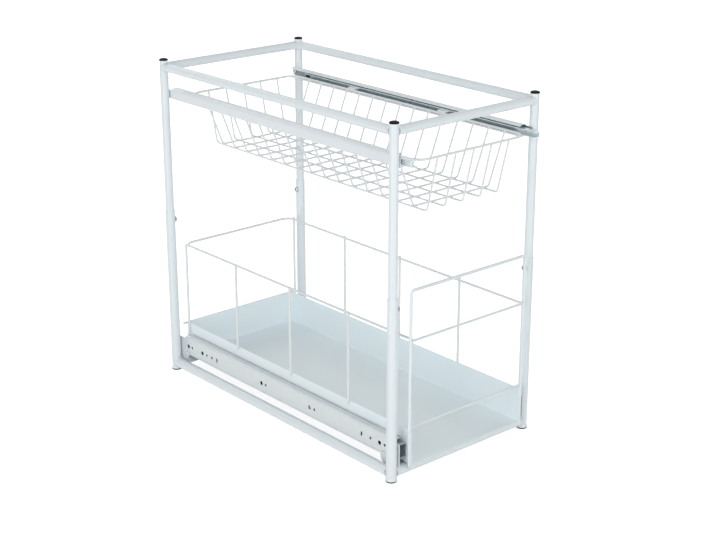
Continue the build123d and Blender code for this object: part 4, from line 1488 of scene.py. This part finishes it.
    def welds(self) -> None:
        """Sets a small fused spot wherever two wires or a wire and the pan meet."""
        spots = []
        for side in Side:
            s = side.value
            middle = s * (self.gallery_x + self.upright_x) / 2
            for y in self.upright_y:
                spots.append((at(middle, min(y, 207.0), self.gallery_z), (0.0, 0.0, 0.0)))
                spots.append((at(s * (self.half + 0.15), y, self.wall_top - 1.2), (0.0, 0.0, 0.0)))
            for level in (self.gallery_z - self.wire, self.wall_top + self.wire / 2):
                spots.append((at(s * self.handle_x, self.handle_y + 1.9, level), (0.0, 0.0, 0.0)))
            spots.append((at(s * self.gallery_x, self.handle_y + 3.6, self.gallery_z - 1.6), (0.0, 0.0, 0.0)))
        bm = bmesh.new()
        bmesh.ops.create_icosphere(bm, subdivisions=2, radius=1.55 * MM)
        part = finish_mesh("one_spot", bm, self.paints.powder, 80.0)
        piece = self.shop.set_out("tray_wire_welds", part, spots, self.paints.powder, 80.0)
        dress(piece, Body.TRAY, Slot.POWDER)

    def build(self) -> None:
        """Builds the whole tray."""
        self.pan()
        self.wires()
        self.welds()


# ---------------------------------------------------------------- basket
@dataclass
class Basket:
    """The upper pull-out: a rim wire and two crossing layers of bent wires."""

    shop: Workshop
    paints: Paints
    rim_z: float = 382.0
    rim_wire: float = 3.0
    rim_half: float = 85.0
    rim_run: tuple[float, float] = (-230.0, 198.0)
    rim_corner: float = 15.0
    wire: float = 2.4
    depth: float = 66.0
    floor_half: float = 60.0
    inset: float = 16.0
    bend: float = 5.5
    long_x: tuple[float, ...] = (-56.0, -28.0, 0.0, 28.0, 56.0)
    cross_count: int = 15
    cross_first: float = -196.0
    cross_pitch: float = 25.7

    def top_of(self, rim_at: float, floor_at: float, floor_z: float) -> tuple[float, float]:
        """Where a wall wire's axis ends against the rim."""
        run = math.hypot(rim_at - floor_at, self.rim_z - floor_z)
        share = self.rim_wire / 2 / run
        return rim_at - (rim_at - floor_at) * share, self.rim_z - (self.rim_z - floor_z) * share

    def rim(self) -> None:
        """Bends the rim."""
        front, rear = self.rim_run
        x, z, r = self.rim_half, self.rim_z, self.rim_corner
        route = bent_path([at(-x, front, z), at(-x, rear, z), at(x, rear, z), at(x, front, z)], [r] * 4, closed=True, steps=10)
        piece = self.shop.wires("basket_rim_loop", [(route, True)], self.rim_wire, self.paints.wire)
        dress(piece, Body.BASKET, Slot.POWDER, "basket_rim")

    def long_wires(self) -> None:
        """Bends the long floor wires and repeats them across the basket."""
        front, rear = self.rim_run
        z = self.rim_z - self.depth
        y1, z1 = self.top_of(front, front + self.inset, z)
        y2, z2 = self.top_of(rear, rear - self.inset, z)
        x = self.long_x[0]
        route = bent_path(
            [at(x, y1, z1), at(x, front + self.inset, z), at(x, rear - self.inset, z), at(x, y2, z2)], [0, self.bend, self.bend, 0], steps=6
        )
        pitch = Vector(((self.long_x[1] - self.long_x[0]) * MM, 0, 0))
        piece = self.shop.row("basket_floor_long_wires", route, self.wire, len(self.long_x), pitch, self.paints.wire)
        dress(piece, Body.BASKET, Slot.POWDER, "basket_long_wires")

    def cross_wires(self) -> None:
        """Bends the cross wires and repeats them along the basket."""
        z = self.rim_z - self.depth + self.wire
        x1, z1 = self.top_of(-self.rim_half, -self.floor_half, z)
        y = self.cross_first
        route = bent_path(
            [at(x1, y, z1), at(-self.floor_half, y, z), at(self.floor_half, y, z), at(-x1, y, z1)], [0, self.bend, self.bend, 0], steps=6
        )
        pitch = Vector((0, self.cross_pitch * MM, 0))
        piece = self.shop.row("basket_cross_bent_wires", route, self.wire, self.cross_count, pitch, self.paints.wire)
        dress(piece, Body.BASKET, Slot.POWDER, "basket_cross_wires")

    def welds(self) -> None:
        """Sets a fused spot at each crossing and at each wire's end on the rim."""
        spots = []
        z = self.rim_z - self.depth + self.wire / 2
        rows = [self.cross_first + k * self.cross_pitch for k in range(self.cross_count)]
        for y in rows:
            spots += [(at(x, y, z), (0.0, 0.0, 0.0)) for x in self.long_x]
            spots += [(at(side.value * (self.rim_half - 0.5), y, self.rim_z - 1.4), (0.0, 0.0, 0.0)) for side in Side]
        for x in self.long_x:
            spots.append((at(x, self.rim_run[0] + 0.4, self.rim_z - 1.4), (0.0, 0.0, 0.0)))
            spots.append((at(x, self.rim_run[1] - 0.4, self.rim_z - 1.4), (0.0, 0.0, 0.0)))
        bm = bmesh.new()
        bmesh.ops.create_icosphere(bm, subdivisions=2, radius=1.25 * MM)
        part = finish_mesh("one_spot", bm, self.paints.wire, 80.0)
        piece = self.shop.set_out("basket_spot_welds", part, spots, self.paints.wire, 80.0)
        dress(piece, Body.BASKET, Slot.POWDER)

    def build(self) -> None:
        """Builds the whole basket."""
        self.rim()
        self.long_wires()
        self.cross_wires()
        self.welds()


# ---------------------------------------------------------------- studio
@dataclass
class Studio:
    """Camera, floor, lamps and the white surroundings."""

    focal_px: float = 1490.6
    image_width: float = 716.0
    place: tuple[float, float, float] = (-1.1531, -1.3544, 0.8127)
    azimuth: float = 40.985
    down: float = 19.669
    floor_fill: float = 0.72
    ambient: float = 0.50
    overhead: float = 0.30

    def camera(self) -> None:
        """Stands the camera where the photograph was taken from."""
        data = bpy.data.cameras.new("camera")
        data.sensor_width = 36.0
        data.lens = self.focal_px / self.image_width * 36.0
        data.clip_start, data.clip_end = 0.05, 60.0
        made = bpy.data.objects.new("camera", data)
        made.location = self.place
        made.rotation_euler = (math.radians(90 - self.down), 0.0, math.radians(-self.azimuth))
        bpy.context.scene.collection.objects.link(made)
        bpy.context.scene.camera = made

    def floor(self) -> None:
        """Lays a pale floor that keeps the object's soft shadow."""
        bm = bmesh.new()
        bmesh.ops.create_grid(bm, x_segments=4, y_segments=4, size=14.0)
        made = bpy.data.materials.new("pale floor")
        made.use_nodes = True
        tree = made.node_tree
        tree.nodes.clear()
        out = tree.nodes.new("ShaderNodeOutputMaterial")
        matt = tree.nodes.new("ShaderNodeBsdfDiffuse")
        matt.inputs["Color"].default_value = (0.9, 0.9, 0.9, 1.0)
        glow = tree.nodes.new("ShaderNodeEmission")
        both = tree.nodes.new("ShaderNodeAddShader")
        path = tree.nodes.new("ShaderNodeLightPath")
        seen = tree.nodes.new("ShaderNodeMath")
        seen.operation = "MAXIMUM"
        level = tree.nodes.new("ShaderNodeMath")
        level.operation = "MULTIPLY"
        spot = tree.nodes.new("ShaderNodeTexCoord")
        far = tree.nodes.new("ShaderNodeVectorMath")
        far.operation = "LENGTH"
        rise = tree.nodes.new("ShaderNodeMapRange")
        rise.inputs["From Min"].default_value = 0.5
        rise.inputs["From Max"].default_value = 4.0
        rise.inputs["To Min"].default_value = self.floor_fill
        rise.inputs["To Max"].default_value = 1.0
        tree.links.new(spot.outputs["Object"], far.inputs[0])
        tree.links.new(far.outputs["Value"], rise.inputs["Value"])
        tree.links.new(rise.outputs["Result"], level.inputs[1])
        tree.links.new(path.outputs["Is Camera Ray"], seen.inputs[0])
        tree.links.new(path.outputs["Is Glossy Ray"], seen.inputs[1])
        through = tree.nodes.new("ShaderNodeMath")
        through.operation = "MAXIMUM"
        tree.links.new(seen.outputs["Value"], through.inputs[0])
        tree.links.new(path.outputs["Is Transmission Ray"], through.inputs[1])
        tree.links.new(through.outputs["Value"], level.inputs[0])
        tree.links.new(level.outputs["Value"], glow.inputs["Strength"])
        tree.links.new(matt.outputs["BSDF"], both.inputs[0])
        tree.links.new(glow.outputs["Emission"], both.inputs[1])
        tree.links.new(both.outputs["Shader"], out.inputs["Surface"])
        ground = finish_mesh("pale_floor", bm, made)
        if ground.data.polygons[0].normal.z < 0:
            ground.data.flip_normals()

    def surroundings(self) -> None:
        """Makes the world white to the camera and plain soft light to the object."""
        world = bpy.data.worlds.new("white studio")
        world.use_nodes = True
        tree = world.node_tree
        tree.nodes.clear()
        out = tree.nodes.new("ShaderNodeOutputWorld")
        back = tree.nodes.new("ShaderNodeBackground")
        back.inputs["Color"].default_value = (1.0, 1.0, 1.0, 1.0)
        path = tree.nodes.new("ShaderNodeLightPath")
        way = tree.nodes.new("ShaderNodeTexCoord")
        parts = tree.nodes.new("ShaderNodeSeparateXYZ")
        sky = tree.nodes.new("ShaderNodeMapRange")
        sky.inputs["From Max"].default_value = 0.8
        sky.inputs["To Min"].default_value = self.ambient
        sky.inputs["To Max"].default_value = self.overhead
        level = tree.nodes.new("ShaderNodeMix")
        level.data_type = "FLOAT"
        level.inputs["B"].default_value = 1.0
        tree.links.new(way.outputs["Generated"], parts.inputs["Vector"])
        tree.links.new(parts.outputs["Z"], sky.inputs["Value"])
        tree.links.new(sky.outputs["Result"], level.inputs["A"])
        plain = tree.nodes.new("ShaderNodeMath")
        plain.operation = "MAXIMUM"
        bright = tree.nodes.new("ShaderNodeMath")
        bright.operation = "MAXIMUM"
        tree.links.new(path.outputs["Is Camera Ray"], plain.inputs[0])
        tree.links.new(path.outputs["Is Transmission Ray"], plain.inputs[1])
        tree.links.new(path.outputs["Is Glossy Ray"], bright.inputs[0])
        tree.links.new(plain.outputs["Value"], bright.inputs[1])
        tree.links.new(bright.outputs["Value"], level.inputs["Factor"])
        tree.links.new(level.outputs["Result"], back.inputs["Strength"])
        tree.links.new(back.outputs["Background"], out.inputs["Surface"])
        bpy.context.scene.world = world

    def lamp(self, name: str, azimuth: float, height: float, distance: float, size: float, level: float, tint: tuple[float, float, float]) -> None:
        """Hangs a softbox aimed at the object.

        Args:
            name: Name of the lamp.
            azimuth: Direction in degrees, 0 in front, 90 on the right.
            height: Elevation in degrees.
            distance: Metres from the object.
            size: Side of the softbox in metres.
            level: 1.0 lights a white card that faces it to white.
            tint: Colour of the light.
        """
        data = bpy.data.lights.new(name, "AREA")
        data.shape = "SQUARE"
        data.size = size
        data.energy = level * math.pi**2 * distance**2
        data.color = tint
        made = bpy.data.objects.new(name, data)
        a, e = math.radians(azimuth), math.radians(height)
        way = Vector((math.sin(a) * math.cos(e), -math.cos(a) * math.cos(e), math.sin(e)))
        made.location = Vector((0, 0, 0.2)) + way * distance
        made.rotation_euler = (-way).to_track_quat("-Z", "Y").to_euler()
        bpy.context.scene.collection.objects.link(made)

    def lamps(self) -> None:
        """Hangs the lamps: a key on the left, fills in front and on the right."""
        cool = (0.97, 0.99, 1.0)
        self.lamp("key softbox", -75.0, 16.0, 3.0, 2.2, 0.38, cool)
        self.lamp("front softbox", -5.0, 16.0, 3.0, 2.2, 0.28, cool)
        self.lamp("right softbox", 95.0, 20.0, 3.2, 2.0, 0.22, cool)
        self.lamp("rear softbox", 175.0, 25.0, 3.2, 2.0, 0.22, cool)

    def build(self) -> None:
        """Sets up the whole studio."""
        self.camera()
        self.floor()
        self.surroundings()
        self.lamps()
        bpy.context.scene.view_settings.view_transform = "Standard"


def main() -> None:
    """Builds the studio and every sub-assembly."""
    logging.basicConfig(level=logging.INFO, format="%(message)s")
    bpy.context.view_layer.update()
    Studio().build()
    shop, paints = Workshop(), Paints()
    TubeFrame(shop, paints).build()
    Screws(shop, paints).build()
    LowerSlides(shop, paints).build()
    UpperSlides(shop, paints).build()
    BallCages(shop, paints).build()
    Tray(shop, paints).build()
    Basket(shop, paints).build()
    bpy.context.view_layer.update()


if __name__ == "__main__":
    main()
